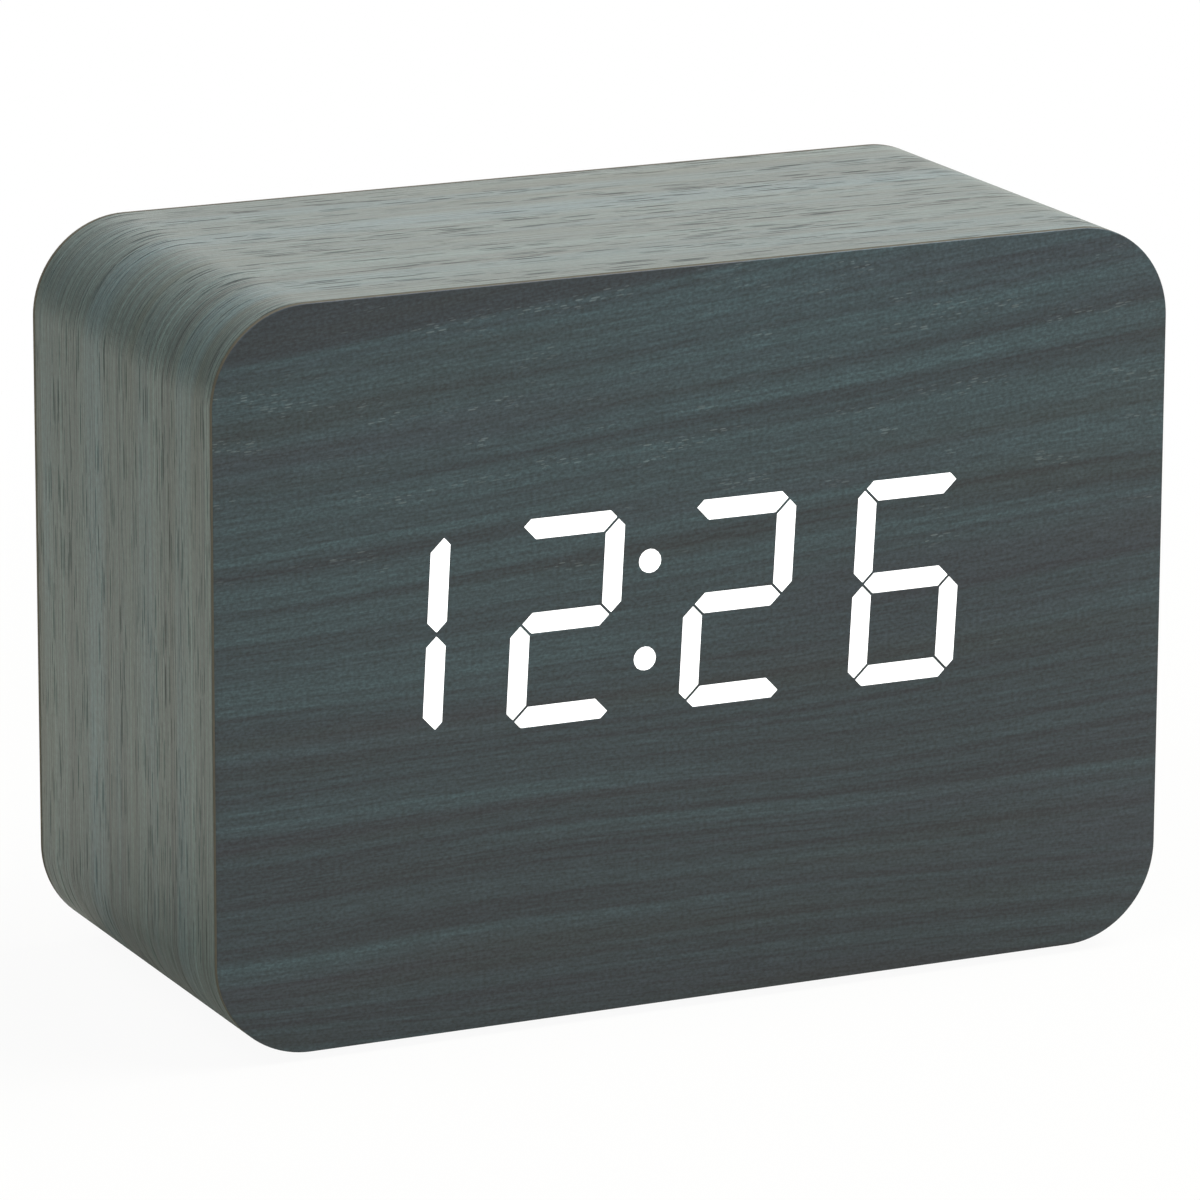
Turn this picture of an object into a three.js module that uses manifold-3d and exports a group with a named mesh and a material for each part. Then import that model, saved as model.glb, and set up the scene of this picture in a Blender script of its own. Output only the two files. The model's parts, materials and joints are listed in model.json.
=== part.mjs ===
// A digital alarm clock: a veneered wood-fibre block whose seven-segment display shines through its front sheet.
// All sizes are millimetres. X runs to the viewer's right, Y from the clock's front to its back, Z up from the table.
import * as THREE from "three";
import { mergeVertices } from "three/addons/utils/BufferGeometryUtils.js";
import Module from "manifold-3d";

const wasm = await Module();
wasm.setup();

// The block
const caseWidth = 100;
const caseDepth = 45;
const caseHeight = 72;
const cornerRadius = 9.5;
const cornerFacets = 5;
const veneerThickness = 0.6;
const glueLine = 0.05;
const frontBoardThickness = 4;
const rearBoardThickness = 6;
const ringWall = 7;
const cavityCorner = 3;
const seamWidth = 0.3;

// The four pads it stands on
const footRadius = 4;
const footHeight = 0.8;
const footEdge = 0.2;
const footInsetX = 12;
const footInsetY = 9;

// The display: four digits of seven segments and a colon
const displayClearance = 0.92;
const displayHeight = 39.15;
const digitPitch = 18.05;
const digitWidth = 9.4;
const digitRise = 9.1;
const slantDegrees = 3;
const segmentWidth = 1.95;
const segmentGap = 0.3;
const cornerTipShare = 0.66;
const colonOffsetX = -0.5;
const colonRise = 4.75;
const colonRadius = 1.15;
const litSegments = ["bc", "abged", "abged", "acdefg"];
const lightNames = ["hours_tens_light", "hours_units_light", "minutes_tens_light", "minutes_units_light"];
const filmThickness = 0.3;
const filmMargin = 0.6;
const lightGap = 0.04;

// The reflector behind it, and the board with its lamps
const reflectorDepth = 7;
const reflectorRim = 2;
const reflectorCorner = 1.5;
const wellTaper = 0.4;
const dotTaper = 0.1;
const windowClearance = 0.4;
const flangeSide = 1;
const flangeTop = 6;
const boardThickness = 1.6;
const lampLength = 1.6;
const lampWidth = 0.8;
const lampHeight = 0.6;
const displayScrewInset = 2.9;
const displayScrewBite = 3;

// Screws: shank, head and drive recess
const screwRadius = 1.1;
const screwHeadRadius = 2.1;
const screwHeadHeight = 1.2;
const screwClearance = 0.1;
const driveLength = 2.2;
const driveWidth = 0.5;
const driveDepth = 0.6;
const screwFacets = 12;

// Parts on the back of the display board
const chipLength = 12.8;
const chipWidth = 7.5;
const chipHeight = 2.3;
const chipPins = 10;
const pinPitch = 1.27;
const pinWidth = 0.45;
const pinReach = 1.3;
const pinThickness = 0.3;
const chipOffsetX = -8;
const crystalRadius = 1;
const crystalLength = 6;
const crystalOffsetX = 6;

// The cells: three of size AAA, side by side
const cellRadius = 5.25;
const cellLength = 44.5;
const cellNubRadius = 1.9;
const cellNubHeight = 0.8;
const cellShoulder = 0.5;
const cellGap = 0.5;
const cellClearance = 0.3;
const cellFacets = 20;
const cellCount = 3;

// The contacts at their ends
const contactThickness = 0.4;
const contactGap = 0.15;
const contactHalfWidth = 4.1;
const tailWidth = 2;
const tailReach = 2.5;
const springLength = 3.2;
const springTurns = 2.5;
const springBaseRadius = 3.3;
const springTipRadius = 1.9;
const springWireRadius = 0.3;
const springSides = 5;
const springStepsPerTurn = 10;

// The moulded rear panel with its battery bay
const panelThickness = 2;
const panelRecess = 0.2;
const panelClearance = 0.3;
const panelCorner = 4;
const panelSideBorder = 4;
const panelLip = 5.3;
const openingClearance = 0.7;
const panelScrewInset = 3;
const panelScrewLength = 6;
const bayWall = 2;
const bayFloor = 1.5;
const bayEndPlay = 0.3;
const bayTopPlay = 0.6;
const cradleDrop = 2.2;

// The battery door
const doorThickness = 1.6;
const doorSeatGap = 0.1;
const doorCellGap = 0.4;
const doorLedge = 1.5;
const doorClearance = 0.3;
const doorCorner = 1.5;
const hookWidth = 5;
const hookSpacing = 30;
const hookReach = 1.8;
const hookThickness = 0.7;
const hookLip = 0.6;
const hookPlay = 0.4;
const hookSwing = 2.6;
const tongueWidth = 12;
const tongueLength = 7;
const tongueSlit = 0.8;
const noseWidth = 8;
const noseHeight = 0.15;
const noseThickness = 0.6;
const catchDepth = 0.5;
const gripCount = 4;
const gripPitch = 1.4;
const gripWidth = 0.7;
const gripDepth = 0.4;

// The column of controls beside the bay
const columnWidth = 19;
const columnClearance = 1;
const buttonPitch = 7.4;
const buttonTopOffset = 4.4;
const buttonRadius = 2.5;
const buttonClearance = 0.25;
const buttonSink = 0.2;
const buttonDome = 0.3;
const buttonRecess = 0.9;
const buttonRecessMargin = 1;
const buttonFlangeRadius = 3.2;
const buttonFlange = 0.7;
const buttonSeatGap = 0.15;
const buttonNames = ["set", "up", "down"];
const buttonFacets = 18;
const switchSize = 5.2;
const switchHeight = 3.45;
const switchEdge = 0.5;
const plungerRadius = 1.3;
const plungerReach = 1.4;
const plungerDepth = 1.1;
const plungerClearance = 0.12;
const plungerRoom = 0.7;

const bossRadius = 2;
const bossInsetX = 2.5;
const bossInsetZ = 2.8;
const controlScrewBite = 4;

const buzzerRadius = 4.5;
const buzzerHeight = 5.2;
const buzzerHole = 1;
const buzzerOffsetX = 1;
const buzzerOffsetZ = 13.5;
const slitCount = 4;
const slitPitch = 2;
const slitWidth = 0.8;
const slitLength = 6.5;

const microphoneRadius = 2.4;
const microphoneHeight = 5;
const microphoneHole = 0.6;
const microphoneOffsetX = 5.8;
const microphoneOffsetZ = 2.5;

const thermistorRadius = 0.9;
const thermistorHeight = 3.2;
const thermistorOffsetX = -6;
const thermistorOffsetZ = -13;

const usbWidth = 7.5;
const usbHeight = 2.6;
const usbChamfer = 0.9;
const usbWall = 0.3;
const usbSink = 1.2;
const usbClearance = 0.3;
const usbOffsetZ = -16.5;
const usbTongueWidth = 3.8;
const usbTongueHeight = 0.6;
const usbTongueSink = 1;

// The wiring
const ribbonWidth = 9;
const ribbonThickness = 0.9;
const ribbonSag = 5;
const ribbonSteps = 12;
const ribbonHeight = 46;
const ribbonInset = 0.6;
const plugThickness = 3;
const plugDepth = 3;
const plugSide = 0.8;
const leadRadius = 0.6;
const leadSides = 6;
const leadSteps = 18;
const leadEndGap = 0.3;
const leadRun = 3;

// Places worked out from the sizes
const caseFront = -caseDepth / 2;
const caseBack = caseDepth / 2;
const caseBase = footHeight + glueLine;
const caseMiddle = caseBase + caseHeight / 2;
const boardInset = veneerThickness + glueLine;

const frontBoardFront = caseFront + boardInset;
const frontBoardBack = frontBoardFront + frontBoardThickness;
const rearBoardBack = caseBack - boardInset;
const rearBoardFront = rearBoardBack - rearBoardThickness;
const ringFront = frontBoardBack + glueLine;
const ringBack = rearBoardFront - glueLine;
const ringJoint = (ringFront + ringBack) / 2;
const cavityHalfWidth = caseWidth / 2 - boardInset - ringWall;
const cavityHalfHeight = caseHeight / 2 - boardInset - ringWall;

const displayZ = caseBase + displayHeight;
const slant = Math.tan(THREE.MathUtils.degToRad(slantDegrees));
const digitHalfWidth = (digitWidth + segmentWidth) / 2;
const digitHalfHeight = digitRise + segmentWidth / 2;
const filmBack = frontBoardFront + filmThickness;
const reflectorFront = filmBack + glueLine;
const reflectorBack = reflectorFront + reflectorDepth;
const reflectorHalfWidth = 1.5 * digitPitch + digitHalfWidth + slant * digitHalfHeight + reflectorRim;
const reflectorHalfHeight = digitHalfHeight + reflectorRim;
const flangeHalfWidth = reflectorHalfWidth + flangeSide;
const flangeHalfHeight = reflectorHalfHeight + flangeTop;
const displayX = -cavityHalfWidth + displayClearance + flangeHalfWidth;
const displayBoardFront = reflectorBack + glueLine;
const displayBoardBack = displayBoardFront + boardThickness;

const bayLength = cellLength + springLength + 2 * (contactThickness + contactGap) + bayEndPlay;
const bayHeight = cellCount * 2 * cellRadius + (cellCount - 1) * cellGap + 2 * bayTopPlay;
const bayHalfLength = bayLength / 2;
const bayHalfHeight = bayHeight / 2;
const pocketHalfLength = bayHalfLength + doorLedge;
const pocketHalfHeight = bayHalfHeight + doorLedge;
const panelFace = caseBack - panelRecess;
const panelInside = panelFace - panelThickness;
const panelHalfWidth = (bayLength + 2 * bayWall + columnWidth) / 2 + panelSideBorder;
const openingHalfWidth = panelHalfWidth - panelSideBorder + openingClearance;
const openingHalfHeight = pocketHalfHeight + hookReach + hookPlay + openingClearance / 2;
const panelHalfHeight = openingHalfHeight + panelLip;
const bayX = -panelHalfWidth + panelSideBorder + bayWall + bayHalfLength;
const bayZ = caseMiddle;
const cellY = panelFace - doorThickness - doorCellGap - cellRadius;
const bayFloorFace = cellY - cellRadius - cellClearance;
const bayBack = bayFloorFace - bayFloor;
const cellStep = 2 * cellRadius + cellGap;
const cellHeights = [1, 0, -1].map((row) => bayZ + row * cellStep);
const bayLeft = bayX - bayHalfLength;
const bayRight = bayX + bayHalfLength;

const columnX = panelHalfWidth - panelSideBorder - columnWidth / 2;
const columnZ = caseMiddle;
const columnHalfWidth = columnWidth / 2 - columnClearance;
const columnHalfHeight = openingHalfHeight - columnClearance;
const buttonTop = panelFace - buttonSink;
const flangeSeat = panelInside - buttonSeatGap;
const plungerTop = flangeSeat - buttonFlange - glueLine;
const switchTop = plungerTop - plungerReach;
const switchBase = switchTop - switchHeight;
const controlBoardFace = switchBase - glueLine;
const controlBoardInside = controlBoardFace - boardThickness;
const buttonHeights = buttonNames.map((_, row) => columnZ + buttonTopOffset - row * buttonPitch);
const bosses = [
  [columnX - columnHalfWidth + bossInsetX, columnZ + columnHalfHeight - bossInsetZ],
  [columnX + columnHalfWidth - bossInsetX, columnZ - columnHalfHeight + bossInsetZ],
];
const usbZ = columnZ + usbOffsetZ;
const usbMouth = panelFace - usbSink;

const overcut = 1;

// Geometry helpers: each returns a manifold solid in the clock's own frame.
function toSolid(geometry) {
  const bare = geometry.index ? geometry.toNonIndexed() : geometry.clone();
  bare.deleteAttribute("normal");
  bare.deleteAttribute("uv");
  const welded = mergeVertices(bare, 1e-4);
  const corners = welded.index.array;
  const kept = [];
  for (let i = 0; i < corners.length; i += 3) {
    const [a, b, c] = [corners[i], corners[i + 1], corners[i + 2]];
    if (a !== b && b !== c && c !== a) kept.push(a, b, c);
  }
  const vertProperties = welded.getAttribute("position").array;
  return new wasm.Manifold(new wasm.Mesh({ numProp: 3, vertProperties, triVerts: new Uint32Array(kept) }));
}

function toGeometry(solid) {
  const mesh = solid.getMesh();
  const geometry = new THREE.BufferGeometry();
  geometry.setAttribute("position", new THREE.BufferAttribute(new Float32Array(mesh.vertProperties), 3));
  geometry.setIndex(new THREE.BufferAttribute(new Uint32Array(mesh.triVerts), 1));
  const flat = geometry.toNonIndexed();
  flat.computeVertexNormals();
  return flat;
}

function joined(first, ...others) {
  return others.reduce((sum, solid) => sum.add(solid), first);
}

function cut(first, ...others) {
  return others.reduce((rest, solid) => rest.subtract(solid), first);
}

function box([left, right], [front, back], [bottom, top]) {
  const geometry = new THREE.BoxGeometry(right - left, back - front, top - bottom);
  geometry.translate((left + right) / 2, (front + back) / 2, (bottom + top) / 2);
  return toSolid(geometry);
}

// An outline drawn in X and Z, as thick as the distance from front to back.
function plate(shape, front, back, facets = 2) {
  const options = { depth: back - front, bevelEnabled: false, curveSegments: facets };
  const geometry = new THREE.ExtrudeGeometry(shape, options);
  geometry.rotateX(Math.PI / 2);
  geometry.translate(0, back, 0);
  return toSolid(geometry);
}

function roundedRectangle(x, z, halfWidth, halfHeight, radius) {
  const corner = Math.min(radius, halfWidth * 0.98, halfHeight * 0.98);
  const [right, top] = [halfWidth - corner, halfHeight - corner];
  const shape = new THREE.Shape();
  shape.absarc(x + right, z + top, corner, 0, Math.PI / 2);
  shape.absarc(x - right, z + top, corner, Math.PI / 2, Math.PI);
  shape.absarc(x - right, z - top, corner, Math.PI, 1.5 * Math.PI);
  shape.absarc(x + right, z - top, corner, 1.5 * Math.PI, 2 * Math.PI);
  shape.closePath();
  return shape;
}

// Turned about a line along Y through x and z, from pairs of radius and y that run from the front to the back.
function turned(profile, x, z, facets) {
  const points = profile.map(([radius, y]) => new THREE.Vector2(radius, y));
  const geometry = new THREE.LatheGeometry(points, facets);
  geometry.translate(x, 0, z);
  return toSolid(geometry);
}

function peg(radius, front, back, x, z, facets = 16) {
  return turned([[0, front], [radius, front], [radius, back], [0, back]], x, z, facets);
}

// Turned about a line along X through y and z, from pairs of radius and x that run to the right.
function turnedAlongX(profile, y, z, facets) {
  const points = profile.map(([radius, x]) => new THREE.Vector2(radius, x));
  const geometry = new THREE.LatheGeometry(points, facets);
  geometry.rotateZ(-Math.PI / 2);
  geometry.translate(0, y, z);
  return toSolid(geometry);
}

// Two outlines of as many points, one in front of the other, joined by flat sides.
function loft(frontOutline, front, backOutline, back) {
  const count = frontOutline.length;
  const positions = [];
  frontOutline.forEach((point) => positions.push(point.x, front, point.y));
  backOutline.forEach((point) => positions.push(point.x, back, point.y));
  const faces = [];
  for (let i = 0; i < count; i += 1) {
    const next = (i + 1) % count;
    faces.push(i, count + i, next, next, count + i, count + next);
    if (i > 0 && next > 0) faces.push(0, i, next, count, count + next, count + i);
  }
  const geometry = new THREE.BufferGeometry();
  geometry.setAttribute("position", new THREE.Float32BufferAttribute(positions, 3));
  geometry.setIndex(faces);
  return toSolid(geometry);
}

// A convex outline, listed anticlockwise, with every side moved outwards by the distance.
function grown(outline, distance) {
  return outline.map((point, i) => {
    const before = outline[(i + outline.length - 1) % outline.length];
    const after = outline[(i + 1) % outline.length];
    const arriving = point.clone().sub(before).normalize();
    const leaving = after.clone().sub(point).normalize();
    const outwards = new THREE.Vector2(arriving.y + leaving.y, -arriving.x - leaving.x);
    return point.clone().addScaledVector(outwards, (2 * distance) / outwards.lengthSq());
  });
}

// A round wire along a curve, with flat ends.
function wire(curve, radius, sides, steps) {
  const section = new THREE.Shape();
  for (let i = 0; i < sides; i += 1) {
    const angle = (2 * Math.PI * i) / sides;
    const [x, y] = [radius * Math.cos(angle), radius * Math.sin(angle)];
    if (i === 0) section.moveTo(x, y);
    else section.lineTo(x, y);
  }
  section.closePath();
  return toSolid(new THREE.ExtrudeGeometry(section, { steps, bevelEnabled: false, extrudePath: curve }));
}

// The block: sheets of veneer round a stack of boards and rings
function caseOutline(inset) {
  const halfWidth = caseWidth / 2 - inset;
  const halfHeight = caseHeight / 2 - inset;
  return roundedRectangle(0, caseMiddle, halfWidth, halfHeight, Math.max(cornerRadius - inset, 0.2));
}

function caseLayer(inset, front, back) {
  return plate(caseOutline(inset), front, back, cornerFacets);
}

function caseRing(front, back) {
  const hollow = roundedRectangle(0, caseMiddle, cavityHalfWidth, cavityHalfHeight, cavityCorner);
  return cut(caseLayer(boardInset, front, back), plate(hollow, front - overcut, back + overcut));
}

function bandVeneer() {
  const around = caseLayer(0, frontBoardFront, rearBoardBack);
  const core = caseLayer(veneerThickness, frontBoardFront - overcut, rearBoardBack + overcut);
  const seam = box(
    [-seamWidth / 2, seamWidth / 2],
    [caseFront, caseBack],
    [caseBase - overcut, caseBase + veneerThickness + overcut],
  );
  return cut(around, core, seam);
}

function foot(x, y) {
  const profile = [
    [0, 0],
    [footRadius - footEdge, 0],
    [footRadius, footEdge],
    [footRadius, footHeight],
    [0, footHeight],
  ];
  const points = profile.map(([radius, z]) => new THREE.Vector2(radius, z));
  const geometry = new THREE.LatheGeometry(points, 20);
  geometry.rotateX(Math.PI / 2);
  geometry.translate(x, y, 0);
  return toSolid(geometry);
}

// The display. A bar is one segment, drawn flat with its inner side down; each end is a tip between two mitres.
function bar(halfLength, leftTip, rightTip) {
  const half = segmentWidth / 2;
  const root = halfLength - half - segmentGap / Math.SQRT2;
  const end = (tip) => [
    [root, -half],
    [root + tip * segmentWidth, tip * segmentWidth - half],
    [root + (2 * tip - 1) * segmentWidth, half],
  ];
  const right = end(rightTip);
  const left = end(leftTip).reverse().map(([u, v]) => [-u, v]);
  return [...right, ...left];
}

const middleTip = 0.5;
const segments = {
  a: { at: [0, digitRise], turn: 0, half: digitWidth / 2, tips: [cornerTipShare, cornerTipShare] },
  d: { at: [0, -digitRise], turn: 2, half: digitWidth / 2, tips: [cornerTipShare, cornerTipShare] },
  g: { at: [0, 0], turn: 0, half: digitWidth / 2, tips: [middleTip, middleTip] },
  b: { at: [digitWidth / 2, digitRise / 2], turn: 3, half: digitRise / 2, tips: [cornerTipShare, middleTip] },
  c: { at: [digitWidth / 2, -digitRise / 2], turn: 3, half: digitRise / 2, tips: [middleTip, cornerTipShare] },
  f: { at: [-digitWidth / 2, digitRise / 2], turn: 1, half: digitRise / 2, tips: [middleTip, cornerTipShare] },
  e: { at: [-digitWidth / 2, -digitRise / 2], turn: 1, half: digitRise / 2, tips: [cornerTipShare, middleTip] },
};

function digitX(digit) {
  return displayX + (digit - 1.5) * digitPitch;
}

// A point of a leaning digit, from its place across and above the digit's centre.
function leaning(centreX, across, above) {
  return new THREE.Vector2(centreX + across + slant * above, displayZ + above);
}

function segmentOutline(digit, name) {
  const { at, turn, half, tips } = segments[name];
  const [cos, sin] = [[1, 0], [0, 1], [-1, 0], [0, -1]][turn];
  return bar(half, ...tips).map(([u, v]) =>
    leaning(digitX(digit), at[0] + u * cos - v * sin, at[1] + u * sin + v * cos),
  );
}

function filmOutline(centreX, halfWidth, halfHeight) {
  const corners = [[-1, -1], [1, -1], [1, 1], [-1, 1]];
  return corners.map(([side, up]) => leaning(centreX, side * halfWidth, up * halfHeight));
}

const colonX = displayX + colonOffsetX;
const colonDots = [1, -1].map((up) => leaning(colonX, 0, up * colonRise));

function litOutlines(digit) {
  return [...litSegments[digit]].map((name) => segmentOutline(digit, name));
}

function outlinePrism(outline, front, back) {
  return loft(outline, front, outline, back);
}

function digitLight(digit) {
  const halfWidth = digitHalfWidth + filmMargin;
  const film = outlinePrism(
    filmOutline(digitX(digit), halfWidth, digitHalfHeight + filmMargin),
    frontBoardFront,
    filmBack,
  );
  const bars = litOutlines(digit).map((outline) => outlinePrism(outline, caseFront, filmBack));
  return joined(film, ...bars);
}

function colonLight() {
  const halfWidth = colonRadius + filmMargin;
  const film = outlinePrism(filmOutline(colonX, halfWidth, colonRise + halfWidth), frontBoardFront, filmBack);
  const dots = colonDots.map((dot) => peg(colonRadius, caseFront, filmBack, dot.x, dot.y));
  return joined(film, ...dots);
}

function frontVeneer() {
  const sheet = caseLayer(0, caseFront, caseFront + veneerThickness);
  const [front, back] = [caseFront - overcut, caseFront + veneerThickness + overcut];
  const bars = litSegments.flatMap((_, digit) => litOutlines(digit));
  const windows = bars.map((outline) => outlinePrism(grown(outline, lightGap), front, back));
  const dots = colonDots.map((dot) => peg(colonRadius + lightGap, front, back, dot.x, dot.y));
  return cut(sheet, ...windows, ...dots);
}

const displayScrews = [-1, 1].flatMap((side) =>
  [-1, 1].map((up) => [
    displayX + side * (reflectorHalfWidth - displayScrewInset),
    displayZ + up * (flangeHalfHeight - displayScrewInset),
  ]),
);

function displayScrewHoles(front, back) {
  return displayScrews.map(([x, z]) => peg(screwRadius + screwClearance, front, back, x, z, screwFacets));
}

function frontBoard() {
  const window = roundedRectangle(
    displayX,
    displayZ,
    reflectorHalfWidth + windowClearance,
    reflectorHalfHeight + windowClearance,
    reflectorCorner + windowClearance,
  );
  return cut(
    caseLayer(boardInset, frontBoardFront, frontBoardBack),
    plate(window, frontBoardFront - overcut, frontBoardBack + overcut),
    ...displayScrewHoles(frontBoardBack - displayScrewBite - screwClearance, frontBoardBack + overcut),
  );
}

// White block of light wells: each is as wide as its segment in front and narrows to its lamp behind.
function reflectorBlock() {
  const nose = roundedRectangle(
    displayX,
    displayZ,
    reflectorHalfWidth,
    reflectorHalfHeight,
    reflectorCorner,
  );
  const flange = roundedRectangle(displayX, displayZ, flangeHalfWidth, flangeHalfHeight, reflectorCorner);
  const block = joined(
    plate(nose, reflectorFront, reflectorBack),
    plate(flange, frontBoardBack + glueLine, reflectorBack),
  );
  const wells = [0, 1, 2, 3].flatMap((digit) =>
    Object.keys(segments).map((name) => {
      const mouth = segmentOutline(digit, name);
      const throat = grown(mouth, -wellTaper);
      return loft(mouth, reflectorFront - glueLine, throat, reflectorBack + glueLine);
    }),
  );
  const dots = colonDots.map((dot) => {
    const [front, back] = [reflectorFront - glueLine, reflectorBack + glueLine];
    const profile = [[0, front], [colonRadius, front], [colonRadius - dotTaper, back], [0, back]];
    return turned(profile, dot.x, dot.y, 12);
  });
  const holes = displayScrewHoles(frontBoardBack - overcut, reflectorBack + overcut);
  return cut(block, ...wells, ...dots, ...holes);
}

function lamp(x, z, upright) {
  const [halfX, halfZ] = upright ? [lampWidth / 2, lampLength / 2] : [lampLength / 2, lampWidth / 2];
  return box(
    [x - halfX, x + halfX],
    [displayBoardFront - lampHeight, displayBoardFront + boardThickness / 2],
    [z - halfZ, z + halfZ],
  );
}

function displayBoard() {
  const outline = roundedRectangle(displayX, displayZ, flangeHalfWidth, flangeHalfHeight, reflectorCorner);
  const lamps = [0, 1, 2, 3].flatMap((digit) =>
    Object.values(segments).map(({ at, turn }) => {
      const spot = leaning(digitX(digit), ...at);
      return lamp(spot.x, spot.y, turn % 2 === 1);
    }),
  );
  const colonLamps = colonDots.map((dot) => lamp(dot.x, dot.y, true));
  return cut(
    joined(plate(outline, displayBoardFront, displayBoardBack), ...lamps, ...colonLamps),
    ...displayScrewHoles(displayBoardFront - overcut, displayBoardBack + overcut),
  );
}

// A screw along Y: facing is 1 when its head looks to the back and -1 when it looks to the front.
function screw(x, z, seat, length, facing, countersunk) {
  const headRoot = countersunk ? screwRadius : screwHeadRadius;
  const top = seat + facing * screwHeadHeight;
  const profile = [
    [0, seat - facing * length],
    [screwRadius * 0.5, seat - facing * length],
    [screwRadius, seat - facing * (length - screwRadius)],
    [screwRadius, seat],
    [headRoot, seat],
    [screwHeadRadius, countersunk ? top : seat + facing * screwHeadHeight * 0.6],
    [screwHeadRadius * 0.85, top],
    [0, top],
  ];
  const ordered = facing > 0 ? profile : profile.reverse();
  const distinct = ordered.filter(([radius, y], i) => {
    const last = ordered[i - 1];
    return !last || radius !== last[0] || y !== last[1];
  });
  const drive = (halfX, halfZ) =>
    box(
      [x - halfX, x + halfX],
      facing > 0 ? [top - driveDepth, top + overcut] : [top - overcut, top + driveDepth],
      [z - halfZ, z + halfZ],
    );
  const long = driveLength / 2;
  const short = driveWidth / 2;
  return cut(turned(distinct, x, z, screwFacets), drive(long, short), drive(short, long));
}

function displayScrew([x, z]) {
  const seat = displayBoardBack + glueLine;
  return screw(x, z, seat, seat - frontBoardBack + displayScrewBite, 1, false);
}

const chipX = displayX + chipOffsetX;

function controllerChip() {
  const body = displayBoardBack + 2 * glueLine + pinThickness;
  const chip = box(
    [chipX - chipLength / 2, chipX + chipLength / 2],
    [body - pinThickness / 2, body + chipHeight],
    [displayZ - chipWidth / 2, displayZ + chipWidth / 2],
  );
  const pins = [];
  for (let i = 0; i < chipPins; i += 1) {
    const x = chipX + (i - (chipPins - 1) / 2) * pinPitch;
    const reach = chipWidth / 2 + pinReach;
    pins.push(
      box(
        [x - pinWidth / 2, x + pinWidth / 2],
        [body - pinThickness - glueLine, body],
        [displayZ - reach, displayZ + reach],
      ),
    );
  }
  return joined(chip, ...pins);
}

function clockCrystal() {
  const x = displayX + crystalOffsetX;
  const y = displayBoardBack + glueLine + crystalRadius;
  const edge = crystalRadius * 0.8;
  const ends = [x - crystalLength / 2, x + crystalLength / 2];
  const chamfer = crystalRadius - edge;
  const profile = [
    [0, ends[0]],
    [edge, ends[0]],
    [crystalRadius, ends[0] + chamfer],
    [crystalRadius, ends[1] - chamfer],
    [edge, ends[1]],
    [0, ends[1]],
  ];
  return turnedAlongX(profile, y, displayZ, 12);
}

// The cells and their contacts. A cell that points right has its nub at its right end.
function cell(z, pointsRight) {
  const inset = contactThickness + contactGap + bayEndPlay / 2;
  const nubEnd = pointsRight ? bayRight - inset : bayLeft + inset;
  const way = pointsRight ? -1 : 1;
  const at = (distance) => nubEnd + way * distance;
  const rim = cellRadius - cellShoulder;
  const profile = [
    [0, at(0)],
    [cellNubRadius, at(0)],
    [cellNubRadius, at(cellNubHeight)],
    [rim, at(cellNubHeight)],
    [cellRadius, at(cellNubHeight + cellShoulder)],
    [cellRadius, at(cellLength - cellShoulder / 2)],
    [rim, at(cellLength)],
    [0, at(cellLength)],
  ];
  return turnedAlongX(pointsRight ? profile.reverse() : profile, cellY, z, cellFacets);
}

// Which end of the bay a contact is at, and where the cells' ends lie there
function contactPlate(atRight, low, high) {
  const wall = atRight ? bayRight - contactGap : bayLeft + contactGap;
  const face = atRight ? wall - contactThickness : wall + contactThickness;
  return box([Math.min(wall, face), Math.max(wall, face)], [cellY - contactHalfWidth, cellY + contactHalfWidth], [low, high]);
}

class ConicalHelix extends THREE.Curve {
  constructor(start, length, y, z) {
    super();
    Object.assign(this, { start, length, y, z });
  }

  getPoint(share) {
    const radius = THREE.MathUtils.lerp(springBaseRadius, springTipRadius, share);
    const angle = 2 * Math.PI * springTurns * share;
    return new THREE.Vector3(
      this.start + this.length * share,
      this.y + radius * Math.cos(angle),
      this.z + radius * Math.sin(angle),
    );
  }
}

// Least distance between two turns of a spring's wire, surface to surface
function turnGap(curve) {
  const count = springTurns * springStepsPerTurn * 4;
  const points = curve.getPoints(count);
  const halfTurn = (springStepsPerTurn * 4) / 2;
  let least = Infinity;
  points.forEach((point, i) => {
    for (let j = i + halfTurn; j < points.length; j += 1) {
      least = Math.min(least, point.distanceTo(points[j]));
    }
  });
  return least - 2 * springWireRadius;
}

function spring(atRight, z) {
  const face = atRight ? bayRight - contactGap - contactThickness : bayLeft + contactGap + contactThickness;
  const way = atRight ? -1 : 1;
  const reach = springLength - springWireRadius - bayEndPlay / 2;
  const curve = new ConicalHelix(face - way * contactThickness * 0.3, way * reach, cellY, z);
  console.log(`spring at ${atRight ? "right" : "left"}: least gap between turns ${turnGap(curve).toFixed(2)} mm`);
  return wire(curve, springWireRadius, springSides, springTurns * springStepsPerTurn);
}

function tail(atRight, z) {
  const wall = atRight ? bayRight - contactGap : bayLeft + contactGap;
  const face = atRight ? wall - contactThickness : wall + contactThickness;
  return box(
    [Math.min(wall, face), Math.max(wall, face)],
    [bayBack - tailReach, cellY],
    [z - tailWidth / 2, z + tailWidth / 2],
  );
}

// Cell 1 is the top one; 1 and 3 point right, and 2 points left.
const [topCell, middleCell, bottomCell] = cellHeights;
const tails = [
  { atRight: false, z: topCell },
  { atRight: true, z: bottomCell },
];

function contactNegative() {
  const sheet = contactPlate(false, topCell - contactHalfWidth, topCell + contactHalfWidth);
  return joined(sheet, tail(false, topCell), spring(false, topCell));
}

function contactPositive() {
  const sheet = contactPlate(true, bottomCell - contactHalfWidth, bottomCell + contactHalfWidth);
  return joined(sheet, tail(true, bottomCell));
}

function contactBridge(atRight, low, high, springZ) {
  const sheet = contactPlate(atRight, low - contactHalfWidth, high + contactHalfWidth);
  return joined(sheet, spring(atRight, springZ));
}

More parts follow.
